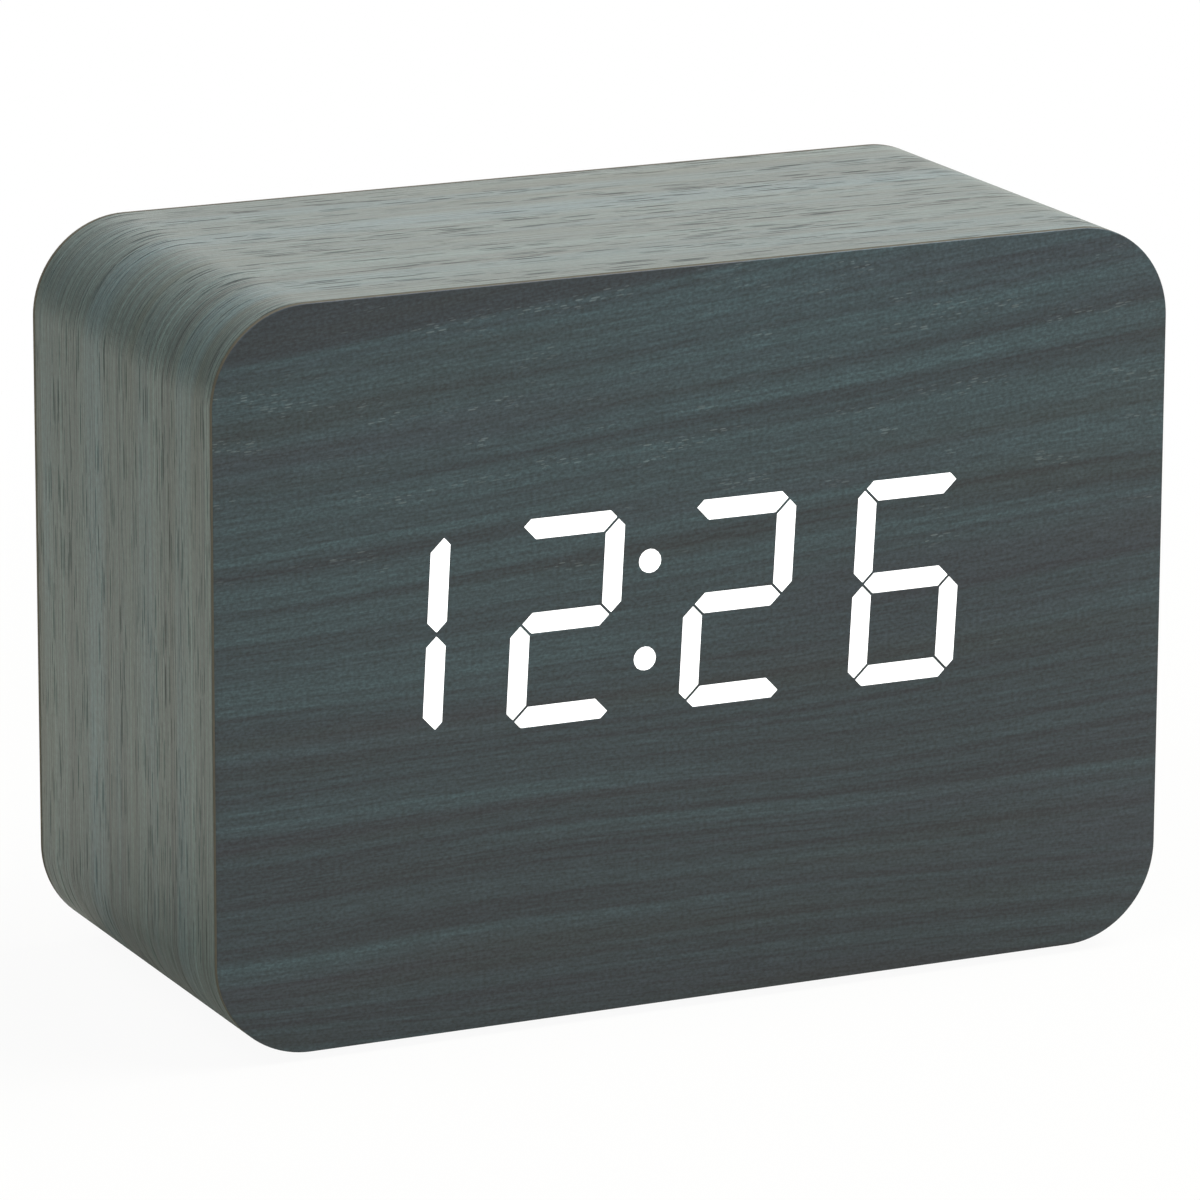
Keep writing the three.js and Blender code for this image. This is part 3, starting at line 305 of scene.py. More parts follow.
frontVeneerLook = {
    **veneerBase, "darkStain": "#252c33", "blueStain": "#384c52", "stainSpan": (0.39, 0.69),
    # painted shade: rise draws the front darker towards the bottom and lighter towards the top
    "lean": -0.025, "fan": 0.0016, "rise": 0.12, "topLineTone": 0.12,
    "hints": [("#292e2e", 0), ("#2c2e38", 5)], "hintShare": 0.42,  # tones that drift in: olive, plum
    "figure": (150, 2.8), "streak": (60, 0.75), "streakShare": 0.45,
    "wave": (60, 22), "waveHeight": 1.1,  # how the grain wanders
    "fibre": (3.5, 0.22), "fibreDepth": 0.26, "mesh": (0.4, 0.3), "meshDepth": 0.36,
    "pore": (1.4, 0.25), "poreKept": 0.6, "poreColour": "#99a5a6", "poreShare": 0.3,
    "cluster": (10, 2.6), "clusterRare": 0.66,  # pale specks where lacquer has filled the pores
    "roughness": 0.42, "bump": 0.02, "seed": 96,
}
bandVeneerLook = {
    **veneerBase, "darkStain": "#2a3331", "blueStain": "#516461", "stainSpan": (0.3, 0.7),
    # painted light: the bottom and left side keep only some of the dark pore colour
    "veinShare": 0.34, "closed": 0.22,  # one bluer vein follows the strip
    "hints": [("#424b41", 0), ("#455c5f", 5)], "hintShare": 0.6,
    "figure": (260, 3.5), "streak": (110, 0.6), "streakShare": 0.6,
    "wave": (80, 25), "waveHeight": 0.4,
    "fibre": (16, 0.26), "fibreDepth": 0.28, "mesh": (0.6, 0.55), "meshDepth": 0.19,
    "pore": (7, 0.46), "poreKept": 0.7, "poreColour": "#0c1112", "poreShare": 0.95,
    "cluster": (30, 4), "clusterRare": 0.4,  # pores dark with stain, and painted shade of their grooves
    "roughness": 0.32, "bump": 0.15, "seed": 21,
}


# Noise drawn out along the grain to a length and a width
def addNoise(add, flow, size, detail, seed):
    scaled = add("VectorMath", [flow, (1 / size[0], 1 / size[1], 0)], operation="MULTIPLY")
    moved = add("VectorMath", [scaled, (0, 0, seed)], operation="ADD")
    return add("TexNoise", {
        "Vector": moved, "Scale": 1, "Detail": detail, "Roughness": veneerBase["noiseRoughness"],
    })


# Pores of many lengths and depths, one to a cell
def addPores(add, flow, look):
    (length, width), reach = look["pore"], look["poreReach"]
    scaled = add("VectorMath", [flow, (1 / length, 1 / width, 0)], operation="MULTIPLY")
    cells = add("TexVoronoi", {"Vector": scaled, "Scale": 1}, voronoi_dimensions="2D").outputs
    lots = add("SeparateColor", [cells["Color"]]).outputs
    size = add("Math", [lots[0], look["poreLeast"]], operation="ADD")
    away = add("Math", [cells["Distance"], size], operation="DIVIDE")
    body = add("MapRange", [away, reach * look["poreCore"], reach, 1, 0], **smooth)
    kept = add("Math", [lots[1], look["poreKept"]], operation="LESS_THAN")
    drawn = add("Math", [body, kept], operation="MULTIPLY")
    depth = add("Math", [lots[2], 1 - look["poreFaint"], look["poreFaint"]], operation="MULTIPLY_ADD")
    return add("Math", [drawn, depth], operation="MULTIPLY")


def makeVeneer(name, look):
    material, add = newMaterial(name)
    seed = look["seed"]
    laid = add("Attribute", attribute_name="grainFlow").outputs["Vector"]
    across, height, _ = add("SeparateXYZ", [laid]).outputs
    slope = add("Math", [height, look["fan"], look["lean"]], operation="MULTIPLY_ADD")
    climb = add("Math", [across, slope], operation="MULTIPLY")
    straight = add("Math", [height, climb], operation="SUBTRACT")
    grain = add("CombineXYZ", [across, straight])
    wave = addNoise(add, grain, look["wave"], 1, seed)
    lift = add("MapRange", [wave, 0, 1, -look["waveHeight"], look["waveHeight"]], **smooth)
    line = add("Math", [straight, lift], operation="ADD")
    flow = add("CombineXYZ", [across, line])

    # painted shade: the figure leans to the blue stain towards the top and to the dark stain towards the
    # bottom
    rise = add("MapRange", [height, *look["paintedShadeSpan"], -look["rise"], look["rise"]], **smooth)
    lifted = add("Math", [addNoise(add, flow, look["figure"], 2, seed + 1), rise], operation="ADD")
    figure = add("MapRange", [lifted, *look["stainSpan"]], **smooth)
    streaks = addNoise(add, flow, look["streak"], 3, seed + 2)
    streak = add("MapRange", [streaks, *noiseSpan], **smooth)
    mixed = add("Mix", {0: look["streakShare"], 2: figure, 3: streak})
    # a darker line along the grain just under the top edge
    ring = add("MapRange", [line, *look["topLineSpan"], 1, look["topLineTone"]], **smooth)
    layers = [(add("Math", [mixed, ring], operation="MULTIPLY"), look["blueStain"])]
    for code, shift in look["hints"]:
        drift = addNoise(add, flow, look["hintSize"], 2, seed + 3 + shift)
        hint = add("MapRange", [drift, *look["hintSpan"], 0, look["hintShare"]], **smooth)
        layers.append((hint, code))
    beside = add("Math", [line, look["veinAt"]], operation="SUBTRACT")
    beyond = add("Math", [beside], operation="ABSOLUTE")
    half = look["veinHalf"]
    vein = add("MapRange", [beyond, half * look["veinCore"], half, look["veinShare"], 0], **smooth)
    colour = layered(add, look["darkStain"], [*layers, (vein, look["vein"])])

    fibre = addNoise(add, flow, look["fibre"], 3, seed + 4)
    mesh = addNoise(add, grain, look["mesh"], 2, seed + 5)
    shades = [
        add("MapRange", [noise, *look["shadeSpan"], 1 - depth, 1 + depth], **smooth)
        for noise, depth in ((fibre, look["fibreDepth"]), (mesh, look["meshDepth"]))
    ]
    shade = add("Math", shades, operation="MULTIPLY")
    colour = add("Mix", {0: 1, 6: colour, 7: shade}, **rgba, blend_type="MULTIPLY")

    rare = look["clusterRare"]
    # the painted shade also leaves fewer pale specks towards the bottom
    lot = add("Math", [addNoise(add, flow, look["cluster"], 2, seed + 7), rise], operation="ADD")
    cluster = add("MapRange", [lot, rare, rare + look["clusterSoft"]], **smooth)
    pore = add("Math", [addPores(add, flow, look), cluster], operation="MULTIPLY")
    # for the band the pore colour is partly stain and partly painted shade of the pores' grooves; it fades on
    # the bottom and left side, which paints them lighter
    most = look["poreShare"]
    deep = add("MapRange", [across, *look["poreShadeSpan"], look["closed"] * most, most], **smooth)
    share = add("Math", [pore, deep], operation="MULTIPLY")
    colour = add("Mix", {0: share, 6: colour, 7: linearColour(look["poreColour"])}, **rgba)
    rough = add("Math", [pore, look["poreDull"], look["roughness"]], operation="MULTIPLY_ADD")
    dip = add("Math", [fibre, pore], operation="SUBTRACT")
    closeMaterial(add, {"Base Color": colour, "Roughness": rough, "IOR": 1.5}, look, dip)
    return material


frontVeneer = makeVeneer("stainedAshVeneerFront", frontVeneerLook)
bandVeneer = makeVeneer("stainedAshVeneerBand", bandVeneerLook)

edgeLook = {
    "tones": ("#504d44", "#656155"), "grainScale": 900, "roughness": 0.8, "specular": 0.15,
    "bump": 0.03, "bumpStrength": 0.4,
}


# The cut edge of a veneer sheet: raw brown wood, sanded through the stain
def makeVeneerEdge():
    look = edgeLook
    material, add = newMaterial("sandedVeneerEdge")
    place = add("TexCoord").outputs["Object"]
    grains = add("TexNoise", {"Vector": place, "Scale": look["grainScale"], "Detail": 3})
    first, second = look["tones"]
    closeMaterial(add, {
        "Base Color": layered(add, first, [(grains, second)]), "Roughness": look["roughness"], "IOR": 1.5,
        "Specular IOR Level": look["specular"],
    }, look, grains)
    return material


veneerEdge = makeVeneerEdge()

caseSize = {
    "width": 100.0, "height": 72.0, "depth": 45.0, "base": 0.85, "corner": 9.5, "cornerSteps": 24,
    "veneer": 0.6, "glue": 0.05, "arris": 0.13, "arrisSteps": 4, "seam": 0.3,
    "rearFlitch": 900, "stripFlitch": 130.0,  # where along the flitch the rear sheet and the strip were cut
}
caseMiddle = caseSize["base"] + caseSize["height"] / 2


def roundedOutline(centre, halfWidth, halfHeight, radius, steps):
    points = []
    for quarter, (sideX, sideZ) in enumerate([(1, 1), (-1, 1), (-1, -1), (1, -1)]):
        for step in range(steps + 1):
            angle = math.pi / 2 * (quarter + step / steps)
            points.append((
                centre[0] + sideX * (halfWidth - radius) + radius * math.cos(angle),
                centre[1] + sideZ * (halfHeight - radius) + radius * math.sin(angle),
            ))
    return points


# The outlines of the openings in a flat CAD sheet, read where its front face ends
def openingsIn(node, plane):
    build = welded(frame["nodes"][node].data)
    near = {v for v in build.verts if abs(v.co.y - plane * mm) < flatReach}
    flat = {f for f in build.faces if all(v in near for v in f.verts)}
    rim = [e for e in build.edges if sum(f in flat for f in e.link_faces) == 1]  # a list keeps one order
    loops = []
    while rim:
        first, last = rim.pop().verts
        loop = [first, last]
        while last != first:
            edge = next(e for e in last.link_edges if e in rim)
            rim.remove(edge)
            last = edge.other_vert(last)
            loop.append(last)
        loops.append([(v.co.x / mm, v.co.z / mm) for v in loop[:-1]])
    build.free()
    widest = max(loops, key=lambda loop: max(x for x, _ in loop) - min(x for x, _ in loop))
    return [loop for loop in loops if loop is not widest]


def ringOf(build, points, y):
    return [build.verts.new((x * mm, y * mm, z * mm)) for x, z in points]


def bridge(build, first, second, slot=0):
    for i in range(len(first)):
        j = (i + 1) % len(first)
        face = build.faces.new((first[i], first[j], second[j], second[i]))
        face.material_index = slot


# Two rings joined and closed at both ends
def closedBetween(build, rings):
    bridge(build, *rings)
    for ring in rings:
        build.faces.new(ring)


def fillFlat(build, rings):
    edges = []
    for ring in rings:
        for i, vert in enumerate(ring):
            edges.append(build.edges.get((vert, ring[(i + 1) % len(ring)])))
    bmesh.ops.triangle_fill(build, edges=edges, use_beauty=True)


# A flat sheet of veneer, facing -1 for the front sheet and 1 for the rear one
def veneerSheet(name, facing, openings, flitch):
    size = caseSize
    face = facing * size["depth"] / 2
    build = bmesh.new()
    steps, arris = size["arrisSteps"], size["arris"]
    rings = []
    for step in range(steps + 1):
        angle = math.pi / 2 * step / steps
        inset, sink = arris * (1 - math.sin(angle)), arris * (1 - math.cos(angle))
        outline = roundedOutline(
            (0, caseMiddle), size["width"] / 2 - inset, size["height"] / 2 - inset,
            size["corner"] - inset, size["cornerSteps"],
        )
        rings.append(ringOf(build, outline, face - facing * sink))
    inner = face - facing * size["veneer"]
    rings.append(ringOf(build, outline, inner))
    for number, (first, second) in enumerate(zip(rings, rings[1:])):
        bridge(build, first, second, 1 if number >= steps - 1 else 0)  # sanding cuts through the stain
    outerHoles = [ringOf(build, points, face) for points in openings]
    innerHoles = [ringOf(build, points, inner) for points in openings]
    for first, second in zip(outerHoles, innerHoles):
        bridge(build, first, second)
    fillFlat(build, [rings[0], *outerHoles])
    fillFlat(build, [rings[-1], *innerHoles])
    mesh = solidOf(build)
    flow = mesh.attributes.new("grainFlow", "FLOAT_VECTOR", "POINT")
    for number, vert in enumerate(mesh.vertices):
        flow.data[number].vector = (vert.co.x / mm + flitch, vert.co.z / mm, 0)
    return smoothed(newObject(name, mesh))


frontHoles = openingsIn("front_veneer", -caseSize["depth"] / 2)
frontSheet = veneerSheet("frontVeneerSheet", -1, frontHoles, 0)
finished(frontSheet, "case", ["front_veneer"], [frontVeneer, veneerEdge])

panelOpening = {"halfWidth": 40.35, "halfHeight": 26.5, "radius": 4.3, "steps": 10}
rearHole = roundedOutline((0, caseMiddle), **panelOpening)
rearSheet = veneerSheet("rearVeneerSheet", 1, [rearHole], caseSize["rearFlitch"])
finished(rearSheet, "case", ["rear_veneer"], [bandVeneer, veneerEdge])


# The strip wound round the block: a flat profile swept along the outline, open at its seam underneath
def makeStripTree():
    tree, add, given = newTree("veneerStrip", {
        "Corner Radius": "Float", "Corner Steps": "Int", "Thickness": "Float", "Width": "Float",
        "Flitch": "Float", "Finish": "Material",
    })
    path = add("GeometryNodeFilletCurve", {
        "Curve": given["Geometry"], "Count": given["Corner Steps"], "Radius": given["Corner Radius"],
    }, mode="POLY")
    along = add("GeometryNodeCaptureAttribute", domain="POINT")
    along.capture_items.new("FLOAT", "Along")
    tree.links.new(path.outputs[0], along.inputs[0])
    tree.links.new(add("GeometryNodeSplineParameter").outputs["Length"], along.inputs["Along"])
    profile = add("GeometryNodeCurvePrimitiveQuadrilateral", {
        "Width": given["Width"], "Height": given["Thickness"],
    })
    strip = add("GeometryNodeCurveToMesh", {
        "Curve": along.outputs[0], "Profile Curve": profile, "Fill Caps": True,
    })
    across = add("SeparateXYZ", [add("GeometryNodeInputPosition")]).outputs["Y"]
    run = add("Math", [along.outputs["Along"], 1 / mm, given["Flitch"]], operation="MULTIPLY_ADD")
    side = add("Math", [across, 1 / mm], operation="MULTIPLY")
    kept = add("GeometryNodeStoreNamedAttribute", {
        "Geometry": strip, "Name": "grainFlow", "Value": add("CombineXYZ", [run, side]),
    }, data_type="FLOAT_VECTOR", domain="POINT")
    closeTree(add, kept, given["Finish"])
    return tree


def windStrip():
    size = caseSize
    half = size["veneer"] / 2
    left, right = -size["width"] / 2 + half, size["width"] / 2 - half
    bottom, top = size["base"] + half, size["base"] + size["height"] - half
    corners = [
        (-size["seam"] / 2, bottom), (left, bottom), (left, top),
        (right, top), (right, bottom), (size["seam"] / 2, bottom),
    ]
    data = bpy.data.curves.new("stripPath", "CURVE")
    data.dimensions = "3D"
    spline = data.splines.new("POLY")
    spline.points.add(len(corners) - 1)
    for point, (x, z) in zip(spline.points, corners):
        point.co = (x * mm, 0, z * mm, 1)
    piece = throughTree(newObject("stripPath", data), makeStripTree(), {
        "Corner Radius": (size["corner"] - half) * mm,
        "Corner Steps": size["cornerSteps"],
        "Thickness": size["veneer"] * mm,
        "Width": (size["depth"] - 2 * (size["veneer"] + size["glue"])) * mm,
        "Flitch": size["stripFlitch"],
        "Finish": bandVeneer,
    }, "woundVeneerStrip")
    build = welded(piece.data)
    bmesh.ops.recalc_face_normals(build, faces=build.faces)
    build.to_mesh(piece.data)
    build.free()
    return smoothed(piece)


finished(windStrip(), "case", ["band_veneer"])
print("clock: veneer laid")


# Finishes of the other pieces. Each entry: two tones, the size of the grain between them in mm, how rough it
# is at each tone, and how deep its bump is in mm.

finishBase = {"cloud": 14, "cloudShare": 0.15, "bumpStrength": 0.5, "metallic": 0, "sheen": 0}
finishLook = {
    # medium density fibreboard, cut and unsealed: dry tan fibres
    "rawFibreboard": {"tones": ("#9a7f5c", "#7d6546"), "grain": 0.7, "rough": (0.8, 0.95), "bump": 0.08},
    # white ABS, moulded and glossy inside its wells so that no light is lost
    "whiteReflectorAbs": {"tones": ("#eeeeea", "#e4e4df"), "grain": 3.0, "rough": (0.3, 0.4), "bump": 0.01},
    # ABS from a spark-eroded mould: even fine pits that break up the highlight
    "texturedPanelAbs": {"tones": ("#1f2022", "#191a1c"), "grain": 0.22, "rough": (0.48, 0.5), "bump": 0.03},
    # black epoxy and PBT of chips, switches and sounders: flat, slightly dusty
    "blackComponentPbt": {"tones": ("#1a1a1b", "#131314"), "grain": 0.3, "rough": (0.45, 0.55), "bump": 0.01},
    # zinc plated steel: bluish, with a soft cloudy highlight
    "zincPlatedSteel": {
        "tones": ("#b9bdc1", "#a3a8ad"), "grain": 0.8, "rough": (0.28, 0.42), "bump": 0.006, "metallic": 1,
    },
    # bright nickel over spring steel and brass: warm, polished by the press
    "nickelPlatedSteel": {
        "tones": ("#c9c3b6", "#b7b0a2"), "grain": 1.2, "rough": (0.2, 0.32), "bump": 0.004, "metallic": 1,
    },
    # silicone rubber keys: soft, slightly greasy sheen
    "siliconeKeyRubber": {
        "tones": ("#2e2f30", "#272829"), "grain": 0.35, "rough": (0.5, 0.62), "bump": 0.012, "sheen": 0.2,
    },
    # raised marks on the keys, rubbed a little paler by fingers
    "paleKeyMark": {"tones": ("#b4b6b6", "#9b9d9d"), "grain": 0.3, "rough": (0.5, 0.6), "bump": 0.005},
    # solid rubber pads: matt, with a fine cast skin
    "footPadRubber": {
        "tones": ("#222222", "#191919"), "grain": 0.4, "rough": (0.75, 0.9), "bump": 0.03, "sheen": 0.15,
    },
    # epoxy bead, dipped: glassy and a little uneven
    "dippedEpoxyBead": {"tones": ("#3d4c2c", "#33401f"), "grain": 0.9, "rough": (0.15, 0.25), "bump": 0.03},
    # soft PVC sleeves of the two leads
    "blackLeadPvc": {"tones": ("#1b1b1d", "#151516"), "grain": 0.9, "rough": (0.35, 0.45), "bump": 0.01},
    "redLeadPvc": {"tones": ("#a9221c", "#8f1b16"), "grain": 0.9, "rough": (0.35, 0.45), "bump": 0.01},
}


def makeFinish(name, look):
    material, add = newMaterial(name)
    place = add("TexCoord").outputs["Object"]
    scale = 1 / (look["grain"] * mm)
    grain = add("TexNoise", {"Vector": place, "Scale": scale, "Detail": 2})
    cloud = add("TexNoise", {"Vector": place, "Scale": scale / look["cloud"], "Detail": 1})
    both = add("Mix", {0: look["cloudShare"], 2: grain, 3: cloud})
    tone = add("MapRange", [both, *noiseSpan], **smooth)
    rough = add("MapRange", [cloud, *noiseSpan, *look["rough"]], **smooth)
    first, second = look["tones"]
    closeMaterial(add, {
        "Base Color": layered(add, first, [(tone, second)]), "Roughness": rough,
        "Metallic": look["metallic"], "Sheen Weight": look["sheen"],
    }, look, grain)
    return material


finishes = {name: makeFinish(name, {**finishBase, **look}) for name, look in finishLook.items()}

filmLook = {"colour": "#f7f8f8", "roughness": 0.5, "grainScale": 2500, "glow": (1.0, 1.08)}


# Lit diffuser film: even white light, a touch of gloss over it
def makeLitFilm():
    look = filmLook
    material, add = newMaterial("litDiffuserFilm")
    place = add("TexCoord").outputs["Object"]
    grains = add("TexNoise", {"Vector": place, "Scale": look["grainScale"], "Detail": 1})
    closeMaterial(add, {
        "Base Color": linearColour(look["colour"]), "Roughness": look["roughness"],
        "Emission Color": [1, 1, 1, 1],
        "Emission Strength": add("MapRange", [grains, *noiseSpan, *look["glow"]], **smooth),
    })
    return material


boardLook = {
    "mask": "#1d5a3e", "track": "#2b7350", "lamp": "#e8e4cf", "roughness": 0.32,
    "trackLength": 6.4, "trackPitch": 1.27, "trackGap": 0.18, "trackSoft": 0.2, "trackShift": 0.37,
    "lampFrom": 0.02, "lampTo": 0.01, "bump": 0.03, "bumpStrength": 0.4,
    "displayFront": -14.45, "noLamps": -99,
}


# Glass-epoxy board under green solder mask: darker tracks beneath, and pale lamps standing on its front
def makeBoard(name, front):
    look = boardLook
    material, add = newMaterial(name)
    place = add("TexCoord").outputs["Object"]
    flat = add("Mapping", {"Vector": place, "Rotation": (math.radians(-90), 0, 0)})
    tracks = add("TexBrick", {
        "Vector": flat, "Scale": 1, "Brick Width": look["trackLength"] * mm,
        "Row Height": look["trackPitch"] * mm, "Mortar Size": look["trackGap"] * mm,
        "Mortar Smooth": look["trackSoft"],
    }, offset=look["trackShift"]).outputs["Fac"]
    depth = add("SeparateXYZ", [place]).outputs["Y"]
    low, high = (front - look["lampFrom"]) * mm, (front - look["lampTo"]) * mm
    lamp = add("MapRange", [depth, low, high, 1, 0], **smooth)
    colour = layered(add, look["mask"], [(tracks, look["track"]), (lamp, look["lamp"])])
    closeMaterial(add, {"Base Color": colour, "Roughness": look["roughness"], "IOR": 1.5}, look, tracks)
    return material


ribbonLook = {
    "tones": ("#9b9ea1", "#86898c"), "dustScale": 700, "roughness": 0.5,
    "rib": 0.9, "ribUnit": 6.3,  # half of a rib's pitch, near enough, and the wave's own unit for it
    "bump": 0.2, "bumpStrength": 0.8,
}


# Flat grey cable: ribbed where its conductors lie side by side
def makeRibbonPvc():
    look = ribbonLook
    material, add = newMaterial("ribbedRibbonPvc")
    place = add("TexCoord").outputs["Object"]
    ribs = add("TexWave", {
        "Vector": place, "Scale": 1 / (look["rib"] * mm) / look["ribUnit"], "Distortion": 0,
    }, bands_direction="X").outputs["Fac"]
    dust = add("TexNoise", {"Vector": place, "Scale": look["dustScale"], "Detail": 2})
    first, second = look["tones"]
    colour = layered(add, first, [(dust, second)])
    closeMaterial(add, {"Base Color": colour, "Roughness": look["roughness"]}, look, ribs)
    return material


cadFinishes = {
    "fibreboard": finishes["rawFibreboard"],
    "lit_film": makeLitFilm(),
    "white_plastic": finishes["whiteReflectorAbs"],
    "circuit_board": makeBoard("greenSolderMask", boardLook["noLamps"]),
    "screw_steel": finishes["zincPlatedSteel"],
    "black_moulding": finishes["blackComponentPbt"],
    "thermistor_resin": finishes["dippedEpoxyBead"],
    "grey_cable": makeRibbonPvc(),
    "black_wire": finishes["blackLeadPvc"],
    "red_wire": finishes["redLeadPvc"],
}


# Turned pieces, in millimetres: a profile is pairs of radius and place along the axis

def eased(points, radius, steps=4):
    result = [points[0]]
    for before, corner, after in zip(points, points[1:], points[2:]):
        ends = []
        for other in (before, after):
            length = math.dist(corner, other)
            share = min(radius, length * 0.45) / length  # so that neighbouring rounds never meet
            ends.append([c + (o - c) * share for c, o in zip(corner, other)])
        for step in range(steps + 1):
            t = step / steps
            result.append(tuple(
                (1 - t) ** 2 * a + 2 * t * (1 - t) * c + t ** 2 * b
                for a, c, b in zip(ends[0], corner, ends[1])
            ))
    result.append(points[-1])
    return result


def turnInto(build, profile, facets, axis, centre, slots=None):
    def spot(radius, along, angle):
        u, v = centre[0] + radius * math.cos(angle), centre[1] + radius * math.sin(angle)
        places = {"X": (along, u, v), "Y": (u, along, v), "Z": (u, v, along)}
        return build.verts.new([c * mm for c in places[axis]])

    rings = []
    for radius, along in profile:
        count = facets if radius > 0 else 1
        rings.append([spot(radius, along, 2 * math.pi * i / facets) for i in range(count)])
    for number, (first, second) in enumerate(zip(rings, rings[1:])):
        for i in range(facets):
            j = (i + 1) % facets
            corners = [ring[k % len(ring)] for ring, k in ((first, i), (first, j), (second, j), (second, i))]
            distinct = list(dict.fromkeys(corners))
            if len(distinct) > 2:
                face = build.faces.new(distinct)
                face.material_index = slots[number] if slots else 0


def turnedPiece(name, profile, facets, axis):
    build = bmesh.new()
    turnInto(build, profile, facets, axis, (0, 0))
    return smoothed(newObject(name, solidOf(build)))


# Repeated pieces: one shape set on every point of a host mesh

def makeSetTree():
    tree, add, given = newTree("setOnPoints", {"Shape": "Object", "Finish": "Material"})
    shape = add("GeometryNodeObjectInfo", {"Object": given["Shape"]}, transform_space="ORIGINAL")
    copies = add("GeometryNodeInstanceOnPoints", {
        "Points": given["Geometry"], "Instance": shape.outputs["Geometry"],
    })
    closeTree(add, copies, given["Finish"])
    return tree


setTree = makeSetTree()


def setOnPoints(name, shape, places, finish):
    build = bmesh.new()
    for place in places:
        build.verts.new([c * mm for c in place])
    host = newObject(name + "Places", meshOf(build))
    piece = throughTree(host, setTree, {"Shape": shape, "Finish": finish}, name)
    bpy.data.objects.remove(shape)
    return piece


screwLook = {
    "shank": 1.1, "head": 2.1, "headHeight": 1.2, "facets": 40, "tip": 0.45, "neck": 0.1, "plain": 0.6,
    "pitch": 0.9, "threadRise": 0.12, "thread": (0.3, 0.5, 0.7),  # where a turn's root, crest and root lie
    # the heads' corners, as shares of radius and height, and how far they are eased
    "countersunk": ([(1, 0.96), (0.9, 1), (0, 1)], 0.12),
    "pan": ([(1, 0), (1, 0.55), (0.75, 1), (0, 1)], 0.3),
    "crossLength": 2.4, "crossWidth": 0.55, "crossDepth": 0.75,
    "crossMouth": 1.1, "crossFoot": 0.6, "crossOver": 0.2,  # the cross widens, to above the head
}


# A cross-recess screw with its seat at the origin; facing tells which way along Y its head looks
def screwShape(length, facing, head):
    look = screwLook
    shank, rise = look["shank"], look["headHeight"]
    root = shank - look["threadRise"]
    profile = [(0, -length), (shank * look["tip"], -length), (root, -length + shank)]
    for turn in range(int((length - shank - look["plain"]) / look["pitch"])):
        start = -length + shank + turn * look["pitch"]
        profile += [(radius, start + along) for radius, along in zip((root, shank, root), look["thread"])]
    corners, easing = look[head]
    outline = [(shank, 0), *((r * look["head"], h * rise) for r, h in corners)]
    profile += [(shank, -look["neck"]), *eased(outline, easing)]
    distinct = [p for i, p in enumerate(profile) if i == 0 or math.dist(p, profile[i - 1]) > 1e-4]
    screw = turnedPiece("screwShape", [(r, facing * y) for r, y in distinct], look["facets"], "Y")
    build = bmesh.new()
    long, short = look["crossLength"] / 2, look["crossWidth"] / 2
    cross = [
        (long, -short), (long, short), (short, short), (short, long), (-short, long), (-short, short),
        (-long, short), (-long, -short), (-short, -short), (-short, -long), (short, -long), (short, -short),
    ]
    closedBetween(build, [
        ringOf(build, [(x * share, z * share) for x, z in cross], facing * (rise + y))
        for share, y in ((look["crossMouth"], look["crossOver"]), (look["crossFoot"], -look["crossDepth"]))
    ])
    drive = newObject("crossDrive", solidOf(build))
    hollow = screw.modifiers.new("crossRecess", "BOOLEAN")
    hollow.object = drive
    hollow.solver = "EXACT"
    shape = plainPiece(screw, "screwShape")
    bpy.data.objects.remove(drive)
    return smoothed(shape)


screwSets = [
    {
        "name": "panelScrews", "node": "panel_screw", "length": 6.0, "facing": 1, "head": "countersunk",
        "places": [(x, 21.0, z) for x in (-37.05, 37.05) for z in (13.65, 60.05)],
    },
    {
        "name": "displayScrews", "node": "display_screw", "length": 8.05, "facing": 1, "head": "pan",
        "places": [(x, -12.8, z) for x in (-37.53, 27.226) for z in (24.825, 55.175)],
    },
    {
        "name": "controlScrews", "node": "control_screw", "length": 5.65, "facing": -1, "head": "pan",
        "places": [(20.55, 12.85, 53.95), (32.55, 12.85, 19.75)],
    },
]
for entry in screwSets:
    shape = screwShape(entry["length"], entry["facing"], entry["head"])
    piece = setOnPoints(entry["name"], shape, entry["places"], finishes["zincPlatedSteel"])
    nodes = [f"{entry['node']}_{number}" for number in range(1, len(entry["places"]) + 1)]
    finished(piece, "case", nodes)

footLook = {"radius": 4.0, "height": 0.8, "edge": 0.25, "x": 38.0, "y": 13.5, "facets": 48}
footRadius, footHeight = footLook["radius"], footLook["height"]
footProfile = eased([(0, 0), (footRadius, 0), (footRadius, footHeight), (0, footHeight)], footLook["edge"])
feet = setOnPoints(
    "footPads",
    turnedPiece("footShape", footProfile, footLook["facets"], "Z"),
    [(x, y, 0) for x in (-footLook["x"], footLook["x"]) for y in (-footLook["y"], footLook["y"])],
    finishes["footPadRubber"],
)
footNodes = ["foot_front_left", "foot_front_right", "foot_rear_left", "foot_rear_right"]
finished(feet, "case", footNodes)
print("clock: screws and feet set")


# Moulded pieces: a welded copy of the CAD solid whose outer edges are eased

mouldLook = {
    "face": 22.3, "edge": 0.18, "shellEdge": 0.06, "steps": 3,
    "flatWithin": 0.5, "easedFrom": 25, "flatFace": 0.9999,  # degrees, degrees, a normal's share along Y
}


